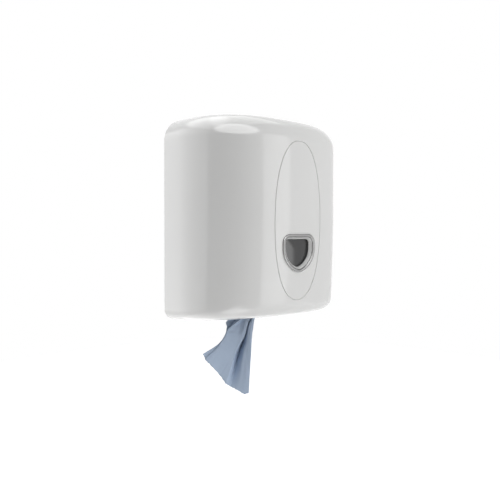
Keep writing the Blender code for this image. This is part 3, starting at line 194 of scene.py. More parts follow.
def patterned(tree, shader, colour, rough=None, relief=None):
    """Wires patterns to the shader: (pattern, low, high) for a hex colour and for the roughness,
    and (pattern, depth in metres, strength) for a relief."""
    mix = {0: colour[0], 6: linear(colour[1]), 7: linear(colour[2])}
    sockets = {"Base Color": node(tree, "Mix", mix, data_type="RGBA").outputs[2]}
    if rough:
        spread = dict(zip(("Value", "To Min", "To Max"), rough))
        sockets["Roughness"] = node(tree, "MapRange", spread)
    if relief:
        raised = dict(zip(("Height", "Distance", "Strength"), relief))
        sockets["Normal"] = node(tree, "Bump", raised)
    wired(tree, shader, sockets)


def gloss_abs():
    """ABS moulded in a polished tool: bright white with clear reflections. Its white drifts over
    140 mm, hand marks about 40 mm across dull it a little, and it has a trace of orange peel, 2.4
    mm across."""
    made, tree, shader = finish("gloss_moulded_abs", IOR=1.53, Roughness=0.11)
    place = node(tree, "TexCoord").outputs["Object"]
    drift = node(tree, "TexNoise", {"Vector": place, "Scale": 7.0, "Detail": 2.0})
    marks = node(tree, "TexNoise", {"Vector": place, "Scale": 24.0, "Detail": 4.0})
    peel = node(tree, "TexNoise", {"Vector": place, "Scale": 420.0, "Detail": 1.0})
    patterned(tree, shader, (drift, "E4E4E3", "E8E8E7"), (marks, 0.07, 0.15), (peel, 0.00002, 0.25))
    return made


def satin_abs():
    """ABS moulded in a spark-eroded tool: the same white, dull, drifting over 110 mm, with a fine
    even grain. The grain is drawn 0.8 mm across, because the real one is too fine to show."""
    made, tree, shader = finish("satin_moulded_abs", IOR=1.53)
    place = node(tree, "TexCoord").outputs["Object"]
    drift = node(tree, "TexNoise", {"Vector": place, "Scale": 9.0, "Detail": 2.0})
    grain = node(tree, "TexNoise", {"Vector": place, "Scale": 1200.0, "Detail": 2.0})
    patterned(tree, shader, (drift, "DDDDDC", "E4E4E3"), (grain, 0.38, 0.55), (grain, 0.00006, 0.6))
    return made


def grey_polypropylene():
    """Polypropylene, moulded: mid grey and waxy, with faint flow marks 17 mm wide and 67 mm high
    and a grain 0.7 mm across."""
    made, tree, shader = finish("grey_moulded_polypropylene", IOR=1.49)
    place = node(tree, "TexCoord").outputs["Object"]
    drawn = node(tree, "Mapping", {"Vector": place, "Scale": (1.0, 1.0, 0.25)})
    flow = node(tree, "TexNoise", {"Vector": drawn, "Scale": 60.0, "Detail": 3.0})
    grain = node(tree, "TexNoise", {"Vector": place, "Scale": 1400.0, "Detail": 2.0})
    patterned(tree, shader, (flow, "4B4E51", "5A5D60"), (grain, 0.34, 0.5), (grain, 0.00005, 0.5))
    return made


def silver_lacquered_abs():
    """ABS sprayed with a satin silver lacquer: a pale ring, half metal and half paint, clouded over
    25 mm, with flake in it that is drawn 0.6 mm across to show."""
    made, tree, shader = finish("silver_lacquered_abs", Metallic=0.5, IOR=1.5)
    place = node(tree, "TexCoord").outputs["Object"]
    cloud = node(tree, "TexNoise", {"Vector": place, "Scale": 40.0, "Detail": 2.0})
    flake = node(tree, "TexNoise", {"Vector": place, "Scale": 1600.0, "Detail": 2.0})
    patterned(tree, shader, (cloud, "949494", "9E9E9D"), (flake, 0.2, 0.3), (flake, 0.00003, 0.4))
    return made


def smoked_polycarbonate():
    """Polycarbonate tinted nearly black, with a hard coat: it shows the studio more than what lies
    behind. Its tint drifts over 55 mm, and wiping marks about 11 mm across dull it a little."""
    made, tree, shader = finish(
        "smoked_polycarbonate", IOR=1.58, Coat_Weight=0.4, Coat_IOR=1.58, Coat_Roughness=0.2
    )
    place = node(tree, "TexCoord").outputs["Object"]
    drift = node(tree, "TexNoise", {"Vector": place, "Scale": 18.0, "Detail": 1.0})
    marks = node(tree, "TexNoise", {"Vector": place, "Scale": 90.0, "Detail": 4.0})
    patterned(tree, shader, (drift, "0D0E0F", "131415"), (marks, 0.13, 0.2))
    return made


def black_rubber():
    """EPDM rubber, moulded: a matt black seal that takes a little dust, in specks about 4 mm
    across. Its black is partly painted shade, for the shaded gap round the lens."""
    made, tree, shader = finish("black_epdm_rubber", IOR=1.5, Roughness=0.75)
    place = node(tree, "TexCoord").outputs["Object"]
    dust = node(tree, "TexNoise", {"Vector": place, "Scale": 260.0, "Detail": 3.0})
    patterned(tree, shader, (dust, "0C0C0D", "161617"), relief=(dust, 0.00005, 0.5))
    return made


def zinc_plated_steel():
    """Steel with clear-passivated zinc: cool grey metal with a soft sheen, cloudy over 13 mm, and
    rolling lines 0.3 mm apart."""
    made, tree, shader = finish("zinc_plated_steel", Metallic=1.0)
    place = node(tree, "TexCoord").outputs["Object"]
    cloud = node(tree, "TexNoise", {"Vector": place, "Scale": 75.0, "Detail": 3.0})
    drawn = node(tree, "Mapping", {"Vector": place, "Scale": (1.0, 14.0, 1.0)})
    lines = node(tree, "TexNoise", {"Vector": drawn, "Scale": 220.0, "Detail": 2.0})
    patterned(tree, shader, (cloud, "A9ADB0", "C2C4C4"), (cloud, 0.26, 0.42), (lines, 0.00002, 0.4))
    return made


def chrome_plated_zinc():
    """Die-cast zinc, polished and chromed: bright and hard, with a haze of handling about 6 mm
    across."""
    made, tree, shader = finish("chrome_plated_zinc", Metallic=1.0)
    place = node(tree, "TexCoord").outputs["Object"]
    haze = node(tree, "TexNoise", {"Vector": place, "Scale": 160.0, "Detail": 4.0})
    patterned(tree, shader, (haze, "C9CBCD", "D6D7D8"), (haze, 0.08, 0.2))
    return made


def tissue_nodes(tree, shader, across, low, high, creping):
    """Blue tissue on a pattern whose unit is a metre: mottled over 11 mm, creped 2.6 mm along and
    that over creping across, with dots embossed 3 mm apart."""
    mottle = node(tree, "TexNoise", {"Vector": across, "Scale": 90.0, "Detail": 5.0})
    drawn = node(tree, "Mapping", {"Vector": across, "Scale": (1.0, creping, 1.0)})
    crepe = node(tree, "TexNoise", {"Vector": drawn, "Scale": 380.0, "Detail": 3.0})
    dots = node(tree, "TexVoronoi", {"Vector": across, "Scale": 330.0, "Randomness": 0.15})
    both = node(tree, "Math", {0: crepe, 1: dots}, operation="ADD")
    patterned(tree, shader, (mottle, low, high), relief=(both, 0.00022, 0.5))


def blue_tissue():
    """Two-ply crepe tissue dyed blue: soft and matt, finely creped, with small embossed dots."""
    made, tree, shader = finish(
        "blue_crepe_tissue", Roughness=0.93, IOR=1.4, Specular_IOR_Level=0.25
    )
    place = node(tree, "UVMap", uv_map="cloth")
    tissue_nodes(tree, shader, place, "AEBED4", "B8C7DB", 4.0)
    return made


def wound_tissue():
    """The same tissue on the roll: its sides show the dots, its ends the edges of the windings,
    drawn 3.4 mm apart because the real ones, about 0.15 mm, are too fine to show."""
    made, tree, shader = finish(
        "wound_blue_tissue", Roughness=0.95, IOR=1.4, Specular_IOR_Level=0.2
    )
    place = node(tree, "TexCoord").outputs["Object"]
    centred = node(tree, "Mapping", {"Vector": place, "Location": (0.0, ROLL_DEPTH, 0.0)})
    tissue_nodes(tree, shader, centred, "8CA0BC", "9AADC6", 1.0)
    return made


def seen_rays(tree):
    """1 for rays from the camera, from reflections and through lenses, and 0 for the light that
    falls on things."""
    path = node(tree, "LightPath").outputs
    direct = {0: path["Is Camera Ray"], 1: path["Is Glossy Ray"]}
    seen = node(tree, "Math", direct, operation="MAXIMUM")
    return node(tree, "Math", {0: seen, 1: path["Is Transmission Ray"]}, operation="MAXIMUM")


def pale_floor():
    """The studio's matt paper sweep: what the camera sees is lifted to white where it is lit, and
    keeps the shadow."""
    made, tree, shader = finish(
        "pale_studio_floor", Base_Color=linear("EDEDED"), Roughness=0.9, Emission_Color=WHITE
    )
    lift = node(tree, "Math", {0: seen_rays(tree), 1: FLOOR_LIFT}, operation="MULTIPLY")
    wired(tree, shader, {"Emission Strength": lift})
    return made


# Mesh helpers


def as_mesh(name, shape):
    """Turns a bmesh into a mesh."""
    mesh = bpy.data.meshes.new(name)
    shape.to_mesh(mesh)
    shape.free()
    return mesh


def in_scene(name, data):
    """A new object in the scene."""
    made = bpy.data.objects.new(name, data)
    bpy.context.scene.collection.objects.link(made)
    return made


def finished(name, shape, material, body, nodes=(), angle=SHARP_ANGLE):
    """Makes a piece of a bmesh or a mesh: it rides on a body and stands for the named solids."""
    mesh = as_mesh(name, shape) if isinstance(shape, bmesh.types.BMesh) else shape
    mesh.materials.append(material)
    mesh.shade_smooth()
    mesh.set_sharp_from_angle(angle=angle)
    made = in_scene(name, mesh)
    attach(made, body)
    if nodes:
        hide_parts(*nodes)
    return made


def extruded(shape, edges):
    """Extrudes edges, and returns the new vertices and the new edges between them."""
    made = bmesh.ops.extrude_edge_only(shape, edges=edges)["geom"]
    verts = [part for part in made if isinstance(part, bmesh.types.BMVert)]
    edges = [part for part in made if isinstance(part, bmesh.types.BMEdge)]
    fresh = set(verts)
    return verts, [edge for edge in edges if set(edge.verts) <= fresh]


def swept(rows, closed_rows=False, closed_sweep=False):
    """Extrudes the first row of points through the others. Vertices keep their row and their
    station in it."""
    shape = bmesh.new()
    station = shape.verts.layers.int.new("station")
    level = shape.verts.layers.int.new("level")
    ring = [shape.verts.new(point) for point in rows[0]]
    for index, vertex in enumerate(ring):
        vertex[station] = index
    edges = [shape.edges.new(pair) for pair in zip(ring, ring[1:])]
    if closed_rows:
        edges.append(shape.edges.new((ring[-1], ring[0])))
    for number, row in enumerate(rows[1:], 1):
        verts, edges = extruded(shape, edges)
        for vertex in verts:
            vertex.co = row[vertex[station]]
            vertex[level] = number
    if closed_sweep:
        rims = [edge for edge in shape.edges if edge.is_boundary]
        bmesh.ops.bridge_loops(shape, edges=rims)
    return shape


def capped(shape):
    """Closes each open rim with one flat face, and turns every face outwards."""
    bmesh.ops.holes_fill(shape, edges=[edge for edge in shape.edges if edge.is_boundary], sides=0)
    bmesh.ops.recalc_face_normals(shape, faces=shape.faces)
    return shape


def prism(outline, low, high, normal="Z"):
    """Extrudes a flat outline along one axis."""
    order = {"X": (2, 0, 1), "Y": (0, 2, 1), "Z": (0, 1, 2)}[normal]
    rows = []
    for level in (low, high):
        rows.append([Vector([(a, b, level)[index] for index in order]) for a, b in outline])
    return capped(swept(rows, closed_rows=True))


def block(low, high):
    """A box between two corners."""
    outline = ((low[0], low[1]), (high[0], low[1]), (high[0], high[1]), (low[0], high[1]))
    return prism(outline, low[2], high[2])


def tapered(sizes):
    """A four-sided solid about Z through rows of (half length, half width, level)."""
    rows = []
    for a, b, level in sizes:
        rows.append([Vector((x, y, level)) for x, y in ((-a, -b), (a, -b), (a, b), (-a, b))])
    return capped(swept(rows, closed_rows=True))


def spun(section, steps):
    """Spins (radius, height) points about Z; a section that starts and ends on the axis makes a
    solid."""
    shape = bmesh.new()
    verts = [shape.verts.new((radius, 0.0, height)) for radius, height in section]
    edges = [shape.edges.new(pair) for pair in zip(verts, verts[1:])]
    if section[0][0] > 0:
        edges.append(shape.edges.new((verts[-1], verts[0])))
    bmesh.ops.spin(
        shape,
        geom=verts + edges,
        axis=(0, 0, 1),
        cent=(0, 0, 0),
        angle=math.tau,
        steps=steps,
        use_merge=True,
    )
    bmesh.ops.remove_doubles(shape, verts=shape.verts, dist=1e-7)
    bmesh.ops.recalc_face_normals(shape, faces=shape.faces)
    return shape


def softened(shape, width, angle=35):
    """Bevels the edges that turn by more than the angle in degrees."""
    shape.normal_update()
    least = math.radians(angle)
    sharp = [edge for edge in shape.edges if edge.is_manifold and edge.calc_face_angle(0.0) > least]
    bmesh.ops.bevel(
        shape,
        geom=sharp,
        offset=width,
        offset_type="OFFSET",
        segments=2,
        profile=0.5,
        affect="EDGES",
        clamp_overlap=True,
        material=-1,
    )
    return shape


def placed(shape, matrix):
    """Moves and turns a shape."""
    bmesh.ops.transform(shape, matrix=matrix, verts=shape.verts)
    return shape


def gathered(shapes):
    """Several closed shapes as one bmesh."""
    whole = bmesh.new()
    for shape in shapes:
        mesh = as_mesh("part", shape)
        whole.from_mesh(mesh)
        bpy.data.meshes.remove(mesh)
    return whole


def carved(shape, steps):
    """Applies Booleans in turn, each a pair of an operation and a bmesh, and returns the mesh."""
    body = in_scene("carving", as_mesh("carving", shape))
    tools = []
    for operation, tool in steps:
        tools.append(in_scene("tool", as_mesh("tool", tool)))
        modifier = body.modifiers.new("cut", "BOOLEAN")
        modifier.operation = operation
        modifier.solver = "EXACT"
        modifier.object = tools[-1]
    bpy.context.view_layer.update()
    graph = bpy.context.evaluated_depsgraph_get()
    result = bpy.data.meshes.new_from_object(body.evaluated_get(graph))
    for made in [body] + tools:
        bpy.data.objects.remove(made)
    return result


def arc(centre, radius, start, end, count):
    """Points along an arc, in count steps."""
    turns = [start + (end - start) * index / count for index in range(count + 1)]
    x, y = centre
    return [(x + radius * math.cos(turn), y + radius * math.sin(turn)) for turn in turns]


def circle(radius, steps):
    """Points round a circle about the origin."""
    return arc((0.0, 0.0), radius, 0.0, math.tau, steps)[:-1]


def facing_room(place):
    """Turns +Z towards the room, at a place."""
    return Matrix.Translation(place) @ Matrix.Rotation(math.pi / 2, 4, "X")


def facing_wall(place):
    """Turns +Z towards the wall, at a place."""
    return Matrix.Translation(place) @ Matrix.Rotation(-math.pi / 2, 4, "X")


# Cover


def plan_point(turn, inset):
    """A point of the right half of the plan's front curve, moved inwards by inset."""
    across = math.cos(turn) ** (2 / PLAN_POWER)
    forward = math.sin(turn) ** (2 / PLAN_POWER)
    steep = PLAN_POWER - 1
    normal = Vector((across**steep / HALF_WIDTH, -(forward**steep) / FRONT_CURVE_DEPTH))
    point = Vector((HALF_WIDTH * across, -SIDE_DEPTH - FRONT_CURVE_DEPTH * forward))
    return point - inset * normal.normalized()


def even_turns(count):
    """Turns that space the plan's points evenly along the front curve."""
    fine = 900
    points = [plan_point(math.pi / 2 * index / fine, 0.0) for index in range(fine + 1)]
    travelled = [0.0]
    for before, after in zip(points, points[1:]):
        travelled.append(travelled[-1] + (after - before).length)
    turns = []
    index = 0
    for step in range(count + 1):
        goal = travelled[-1] * step / count
        while index < fine and travelled[index + 1] < goal:
            index += 1
        turns.append(math.pi / 2 * index / fine)
    return turns[:-1] + [math.pi / 2]


def plan(inset, turns):
    """The plan from the right rear edge round the front to the left rear edge."""
    side = HALF_WIDTH - inset
    rear = -COVER_WALL_GAP - RIM_ROUND
    straight = 5
    run = SIDE_DEPTH + rear
    right = [Vector((side, rear - run * index / straight)) for index in range(straight)]
    right += [plan_point(turn, inset) for turn in turns]
    right[-1].x = 0.0
    left = [Vector((-point.x, point.y)) for point in reversed(right[:-1])]
    return right + left


def forward_share(y):
    """0 at the cover's rear edge and 1 at its front."""
    return (-y - COVER_WALL_GAP) / (COVER_DEPTH - COVER_WALL_GAP)


def formed(x, y, level):
    """Leans the front back below LEAN_START and slopes the top and the bottom towards the front."""
    share = forward_share(y)
    lean_share = max(LEAN_START - level, 0.0) / (LEAN_START + HALF_HEIGHT)
    slope = TOP_FALL if level > 0 else BOTTOM_RISE
    height = level * (1 - slope * share / HALF_HEIGHT)
    return Vector((x, y + FRONT_LEAN * lean_share**2 * share, height))


def front_face(x, z):
    """The outer face's Y on the front, at x and at the finished height z."""
    bulge = (1 - abs(x / HALF_WIDTH) ** PLAN_POWER) ** (1 / PLAN_POWER)
    y = -SIDE_DEPTH - FRONT_CURVE_DEPTH * bulge
    slope = TOP_FALL if z > 0 else BOTTOM_RISE
    level = z / (1 - slope * forward_share(y) / HALF_HEIGHT)
    return formed(x, y, level).y


def cover_levels(wall):
    """(inset, level) of each row, from the bottom's flat over both fillets to the top's."""
    levels = []
    low = BOTTOM_FILLET - HALF_HEIGHT
    high = HALF_HEIGHT - TOP_FILLET
    for index in range(FILLET_STEPS + 1):
        turn = math.pi / 2 * (1 - index / FILLET_STEPS)
        radius = BOTTOM_FILLET - wall
        levels.append((wall + radius * (1 - math.cos(turn)), low - radius * math.sin(turn)))
    levels += [(wall, low + (high - low) * index / WALL_STEPS) for index in range(1, WALL_STEPS)]
    for index in range(FILLET_STEPS + 1):
        turn = math.pi / 2 * index / FILLET_STEPS
        radius = TOP_FILLET - wall
        levels.append((wall + radius * (1 - math.cos(turn)), high + radius * math.sin(turn)))
    return levels


def cover_face(wall, turns):
    """One face of the moulding, open at the rear."""
    rows = []
    for inset, level in cover_levels(wall):
        rows.append([formed(point.x, point.y, level) for point in plan(inset, turns)])
    shape = swept(rows)
    level = shape.verts.layers.int["level"]
    for row in (0, len(rows) - 1):
        rim = [edge for edge in shape.edges if edge.is_boundary]
        rim = [edge for edge in rim if all(vertex[level] == row for vertex in edge.verts)]
        bmesh.ops.contextual_create(shape, geom=rim)
    return shape


def shield(inset, arc_steps=16):
    """The shield from the front as (x, z), moved inwards by inset: flat top, round corners, curved
    to a tip."""
    half = SHIELD_WIDTH / 2 + SHIELD_SPREAD
    radius = (half**2 + SHIELD_DROP**2) / (2 * half)
    corner = max(SHIELD_CORNER - inset, FIT_GAP)
    top = SHIELD_LEVEL + SHIELD_RISE - inset
    upper = arc((half - inset - corner, top - corner), corner, math.pi / 2, 0.0, arc_steps // 2)
    centre = half - radius
    last = -math.acos((SHIELD_TIP - centre) / (radius - inset))
    side = arc((centre, SHIELD_LEVEL), radius - inset, 0.0, last, arc_steps)[1:]
    tip = Vector(side[-1])
    right = upper + side[:-1] + [(tip.x, tip.y)]
    left = [(-x, z) for x, z in reversed(right)]
    return right + left


def window_planes():
    """Y of the pocket's floor, of the flange's back and front, of the lens's seat and of the
    sleeve's end."""
    floor = front_face(0.0, SHIELD_LEVEL) + POCKET_DEPTH
    flange_back = floor - FIT_GAP
    flange_front = flange_back - FLANGE_THICKNESS
    sleeve_end = flange_back + SLEEVE_DEPTH
    lens_seat = sleeve_end - LENS_THICKNESS - 2 * FIT_GAP
    return floor, flange_back, flange_front, lens_seat, sleeve_end


def window_screw_spots():
    """Four places round the shield as (x, z)."""
    half = SHIELD_WIDTH / 2
    radius = (half**2 + SHIELD_DROP**2) / SHIELD_WIDTH
    spots = []
    for share in WINDOW_SCREW_SPREAD_SHARES:
        turn = -share * math.pi / 2
        reach = radius + WINDOW_SCREW_OUTSET
        x = half - radius + reach * math.cos(turn)
        z = SHIELD_LEVEL + reach * math.sin(turn)
        spots += [(-x, z), (x, z)]
    return spots


def groove_tube():
    """A thin closed tube along the leaf-shaped line on the front."""
    count = 220
    centres = []
    for index in range(count):
        turn = math.tau * (index + 0.5) / count
        across = math.copysign(abs(math.cos(turn)) ** (2 / GROOVE_POWER), math.cos(turn))
        upward = math.copysign(abs(math.sin(turn)) ** (2 / GROOVE_POWER), math.sin(turn))
        x = GROOVE_HALF_WIDTH * across
        z = GROOVE_LEVEL + (GROOVE_RISE if upward > 0 else GROOVE_DROP) * upward
        centres.append(Vector((x, front_face(x, z), z)))
    rows = []
    for index, centre in enumerate(centres):
        ahead = centres[(index + 1) % count] - centres[index - 1]
        side = ahead.cross(Vector((0.0, 1.0, 0.0))).normalized()
        out = side.cross(ahead).normalized()
        row = []
        for a, b in circle(1.0, 12):
            away = GROOVE_WIDTH_SHARE * a * side + GROOVE_DEPTH_SHARE * b * out
            row.append(centre + GROOVE_RADIUS * away)
        rows.append(row)
    shape = swept(rows, closed_rows=True, closed_sweep=True)
    bmesh.ops.recalc_face_normals(shape, faces=shape.faces)
    return shape


def outlet_outline(turns):
    """The large hole in the bottom, which lets the cover swing clear of the nozzle and of the
    paper."""
    inset = BOTTOM_FILLET + OUTLET_LEDGE
    points = [formed(point.x, point.y, -HALF_HEIGHT) for point in plan(inset, turns)]
    kept = [(point.x, point.y) for point in points if point.y < -OUTLET_REAR]
    side = HALF_WIDTH - inset
    return [(side, -OUTLET_REAR)] + kept + [(-side, -OUTLET_REAR)]


def lock_matrix():
    """Puts the lock's axis square to the cover's sloping top."""
    tilt = math.atan2(TOP_FALL, COVER_DEPTH - COVER_WALL_GAP)
    return Matrix.Translation(formed(0.0, -LOCK_DEPTH, HALF_HEIGHT)) @ Matrix.Rotation(tilt, 4, "X")


def bar(radius, low, high, matrix, steps=24):
    """A round bar along Z, moved and turned by the matrix."""
    return placed(prism(circle(radius, steps), low, high), matrix)


def hinge_ears():
    """An ear on either side of each hinge lug, round at the pin, with its foot sunk into the
    cover's floor."""
    sunk = 0.001
    foot = -HALF_HEIGHT + COVER_WALL - sunk
    top = arc((HINGE_Y, HINGE_Z), EAR_RADIUS, math.pi, 0.0, 20)
    outline = [(HINGE_Y - EAR_RADIUS, foot)] + top + [(HINGE_Y + EAR_RADIUS, foot)]
    offset = LUG_THICKNESS / 2 + EAR_SPACE + EAR_THICKNESS / 2
    ears = []
    for side in (-1, 1):
        for middle in (side * (LUG_MIDDLE - offset), side * (LUG_MIDDLE + offset)):
            ear = prism(outline, middle - EAR_THICKNESS / 2, middle + EAR_THICKNESS / 2, "X")
            ears.append(softened(ear, 0.0004, 60))
    return ears


def cover_openings(turns, floor, sleeve_end):
    """The holes for the window's sleeve, the paper, the lock, the hinge lugs and the window's
    screws."""
    outlet_top = BOTTOM_RISE + COVER_WALL + OVERRUN - HALF_HEIGHT
    openings = [
        prism(shield(SLEEVE_INSET - FIT_GAP), floor - OVERRUN, sleeve_end + OVERRUN, "Y"),
        prism(outlet_outline(turns), -HALF_HEIGHT - OVERRUN, outlet_top),
        bar(BARREL_RADIUS + FIT_GAP, -2 * COVER_WALL, OVERRUN, lock_matrix(), 48),
    ]
    half = LUG_THICKNESS / 2 + RUNNING_GAP
    for side in (-1, 1):
        low = (side * LUG_MIDDLE - half, HINGE_Y - LUG_RADIUS - EAR_SPACE, -HALF_HEIGHT - OVERRUN)
        openings.append(block(low, (side * LUG_MIDDLE + half, OVERRUN, HINGE_Z - PIN_RADIUS)))
    for x, z in window_screw_spots():
        place = facing_room(Vector((x, sleeve_end + OVERRUN / 2, z)))
        openings.append(bar(WINDOW_SCREW_RADIUS + FIT_GAP, 0.0, WINDOW_SCREW_BORE, place))
    return openings


def pin_bores():
    """The bores for the hinge pins, through both ears of each hinge."""
    reach = LUG_THICKNESS / 2 + EAR_SPACE + EAR_THICKNESS + OVERRUN
    turn = Matrix.Rotation(math.pi / 2, 4, "Y")
    bores = []
    for side in (-1, 1):
        place = Matrix.Translation((side * LUG_MIDDLE, HINGE_Y, HINGE_Z)) @ turn
        bores.append(bar(PIN_RADIUS + FIT_GAP, -reach, reach, place))
    return bores


def surface_reader(shape):
    """Returns a function that gives a point's distance from the shape and the smooth normal
    there."""
    shape.normal_update()
    shape.faces.ensure_lookup_table()
    tree = BVHTree.FromBMesh(shape)

    def read(point):
        place, _, index, distance = tree.find_nearest(point)
        corners = shape.faces[index].verts
        shares = interpolate.poly_3d_calc([corner.co for corner in corners], place)
        normal = Vector()
        for share, corner in zip(shares, corners):
            normal += share * corner.normal
        return distance, normal.normalized()

    return read


def vertex_places(shape):
    """The place of each vertex, by its station and its level."""
    station, level = (shape.verts.layers.int[name] for name in ("station", "level"))
    return {(vertex[station], vertex[level]): vertex.co.copy() for vertex in shape.verts}


def joined_faces(outer, inner):
    """Closes the moulding along its rear rim, whose two edges are rounded."""
    start, across = vertex_places(outer), vertex_places(inner)
    station, level = (outer.verts.layers.int[name] for name in ("station", "level"))
    edges = [edge for edge in outer.edges if edge.is_boundary]
    round_share = RIM_ROUND / COVER_WALL
    # Each step's share of the way across the wall, and its rise over RIM_ROUND
    for share, rise in (
        (0.3 * round_share, 0.7),
        (round_share, 1.0),
        (1 - round_share, 1.0),
        (1 - 0.3 * round_share, 0.7),
        (1.0, 0.0),
    ):
        verts, edges = extruded(outer, edges)
        for vertex in verts:
            key = (vertex[station], vertex[level])
            vertex.co = start[key].lerp(across[key], share) + Vector((0.0, RIM_ROUND * rise, 0.0))
    shape = gathered([outer, inner])
    bmesh.ops.remove_doubles(shape, verts=shape.verts, dist=1e-6)
    bmesh.ops.recalc_face_normals(shape, faces=shape.faces)
    return shape


def cover_shell(gloss, satin):
    """The cover: one thin moulding, polished outside and satin inside, with its pad for the window
    and its ears."""
    turns = even_turns(PLAN_STEPS)
    outer = cover_face(0.0, turns)
    inner = cover_face(COVER_WALL, turns)
    for face in (outer, inner):
        bmesh.ops.recalc_face_normals(face, faces=face.faces)
    readers = (surface_reader(outer), surface_reader(inner))
    floor, _, _, _, sleeve_end = window_planes()
    pad_front = front_face(SHIELD_WIDTH / 2, SHIELD_LEVEL - SHIELD_DROP) + COVER_WALL / 2
    pad = softened(prism(shield(-PAD_BORDER), pad_front, sleeve_end, "Y"), 0.0006)
    pocket = prism(shield(-POCKET_GAP), floor, floor - POCKET_DEPTH - 2 * OVERRUN, "Y")
    mesh = carved(
        joined_faces(outer.copy(), inner.copy()),
        [
            ("UNION", gathered([pad] + hinge_ears())),
            ("DIFFERENCE", gathered(cover_openings(turns, floor, sleeve_end))),
            ("DIFFERENCE", pocket),
            ("DIFFERENCE", gathered(pin_bores())),
            ("DIFFERENCE", groove_tube()),
        ],
    )
    finished("cover_moulding", mesh, gloss, "cover", ["cover_shell"])
    mesh.materials.append(satin)
    polish(mesh, *readers)


def polish(mesh, read_outer, read_inner):
    """Gives the outer and inner faces the normals of their smooth form, so that cuts leave no dents
    in the gloss, and the inner faces the second material. A face counts as one of them if it lies
    near that form and faces alike."""
    near = 2e-5
    alike = 0.8
    skins = [(read_outer(vertex.co), read_inner(vertex.co)) for vertex in mesh.vertices]
    normals = [Vector(corner.vector) for corner in mesh.corner_normals]
    for polygon in mesh.polygons:
        for which in (0, 1):
            found = [skins[index][which] for index in polygon.vertices]
            if max(distance for distance, _ in found) > near:
                continue
            smooth = sum((normal for _, normal in found), Vector()).normalized()
            if smooth.dot(polygon.normal) < alike:
                continue
            polygon.material_index = which
            for loop, (_, normal) in zip(polygon.loop_indices, found):
                normals[loop] = normal
    mesh.normals_split_custom_set(normals)


# Window


def ring_section(points):
    """Sweeps a closed list of (inset, y) round the shield."""
    rows = [[Vector((x, y, z)) for x, z in shield(inset, SHIELD_STEPS)] for inset, y in points]
    shape = swept(rows + rows[:1], closed_rows=True)
    bmesh.ops.remove_doubles(shape, verts=shape.verts, dist=1e-7)
    bmesh.ops.recalc_face_normals(shape, faces=shape.faces)
    return shape


def window_bezel(silver):
    """The silver ring: a rounded bead on the cover, and the sleeve that holds the lens."""
    _, back, front, seat, end = window_planes()
    sleeve = SLEEVE_INSET + SLEEVE_WALL
    bead = [
        (0.0, 0.0011),
        (0.0001, 0.0007),
        (0.0004, 0.0003),
        (0.0009, 0.00008),
        (0.0015, 0.0),
        (0.0022, 0.0001),
        (0.0030, 0.0004),
        (0.0036, 0.0009),
        (BEAD_WIDTH, 0.0014),
    ]
    section = [(0.0, back)] + [(inset, front + depth) for inset, depth in bead]
    section += [(BEAD_WIDTH, seat), (sleeve, seat), (sleeve, end)]
    section += [(SLEEVE_INSET, end), (SLEEVE_INSET, back)]
    ring = ring_section(section)
    finished("bezel_ring", ring, silver, "cover", ["window_bezel"], EASED_ANGLE)


def window_collar(satin):
    """A white collar inside the ring, coned down to the lens."""
    _, _, front, seat, _ = window_planes()
    low = BEAD_WIDTH + COLLAR_GAP
    section = [
        (low, seat),
        (low, front + 0.0022),
        (low + 0.0002, front + 0.0019),
        (low + 0.0005, front + 0.0019),
        (BEZEL_OPENING - 0.0002, front + BEZEL_CONE_DEPTH - 0.0003),
        (BEZEL_OPENING, front + BEZEL_CONE_DEPTH),
        (BEZEL_OPENING, seat),
    ]
    ring = ring_section(section)
    finished("lens_collar", ring, satin, "cover", angle=EASED_ANGLE)


def window_seal_and_gap_shade(rubber):
    """A soft black seal inside the collar, whose lip thins out onto the lens. Its black is partly
    painted shade, standing in for the shaded gap between the lens and the collar.
    """
    seat = window_planes()[3]
    # How far each point lies inside the collar's opening, and above or below the lens's seat
    lip = [
        (0.0001, 0.0001),
        (0.0001, -0.0019),
        (0.0003, -0.0021),
        (0.0005, -0.0019),
        (0.0007, -0.0011),
        (0.0010, -0.0007),
        (0.0016, -0.0005),
        (0.0019, 0.0001),
    ]
    section = [(BEZEL_OPENING + inset, seat + depth) for inset, depth in lip]
    # The seal's black is partly painted shade: it stands in for the shaded gap at the lens's edge.
    finished("lens_seal_and_gap_shade", ring_section(section), rubber, "cover")


def window_lens(smoked):
    """The lens, crowned a little towards the room."""
    steps = 14
    crown = 0.0026
    crown_drop = 0.004
    front = window_planes()[3] + FIT_GAP
    outline = shield(SLEEVE_INSET + SLEEVE_WALL + FIT_GAP, SHIELD_STEPS)
    middle = Vector((0.0, SHIELD_LEVEL - crown_drop))
    rows = [[Vector((x, front + LENS_THICKNESS, z)) for x, z in outline]]
    for index in range(steps):
        share = 1 - (index / steps) ** 1.2
        row = []
        for x, z in outline:
            flat = middle + share * (Vector((x, z)) - middle)
            row.append(Vector((flat.x, front - crown * (1 - share**2), flat.y)))
        rows.append(row)
    lens = capped(swept(rows, closed_rows=True))
    finished("lens_glass", lens, smoked, "cover", ["window_lens"])


# Screws and lock


# Radius and height of the head, and radius of the thread
TRAY_SCREW = (0.0034, 0.002, 0.0016)
WINDOW_SCREW = (0.0022, 0.0011, 0.0011)
CAM_SCREW = (0.0042, 0.0016, 0.0013)
CAM_SCREW_LENGTH = 0.006
LOCK_STEPS = 64


def cross_recess(depth, reach, width):
    """A cross-shaped cutter, in two arms that narrow as they go down."""
    sizes = []
    for level, scale in ((-depth, 0.45), (depth * 0.4, 1.15)):
        sizes.append((reach * scale, width * scale, level))
    return [placed(tapered(sizes), Matrix.Rotation(turn, 4, "Z")) for turn in (0.0, math.pi / 2)]


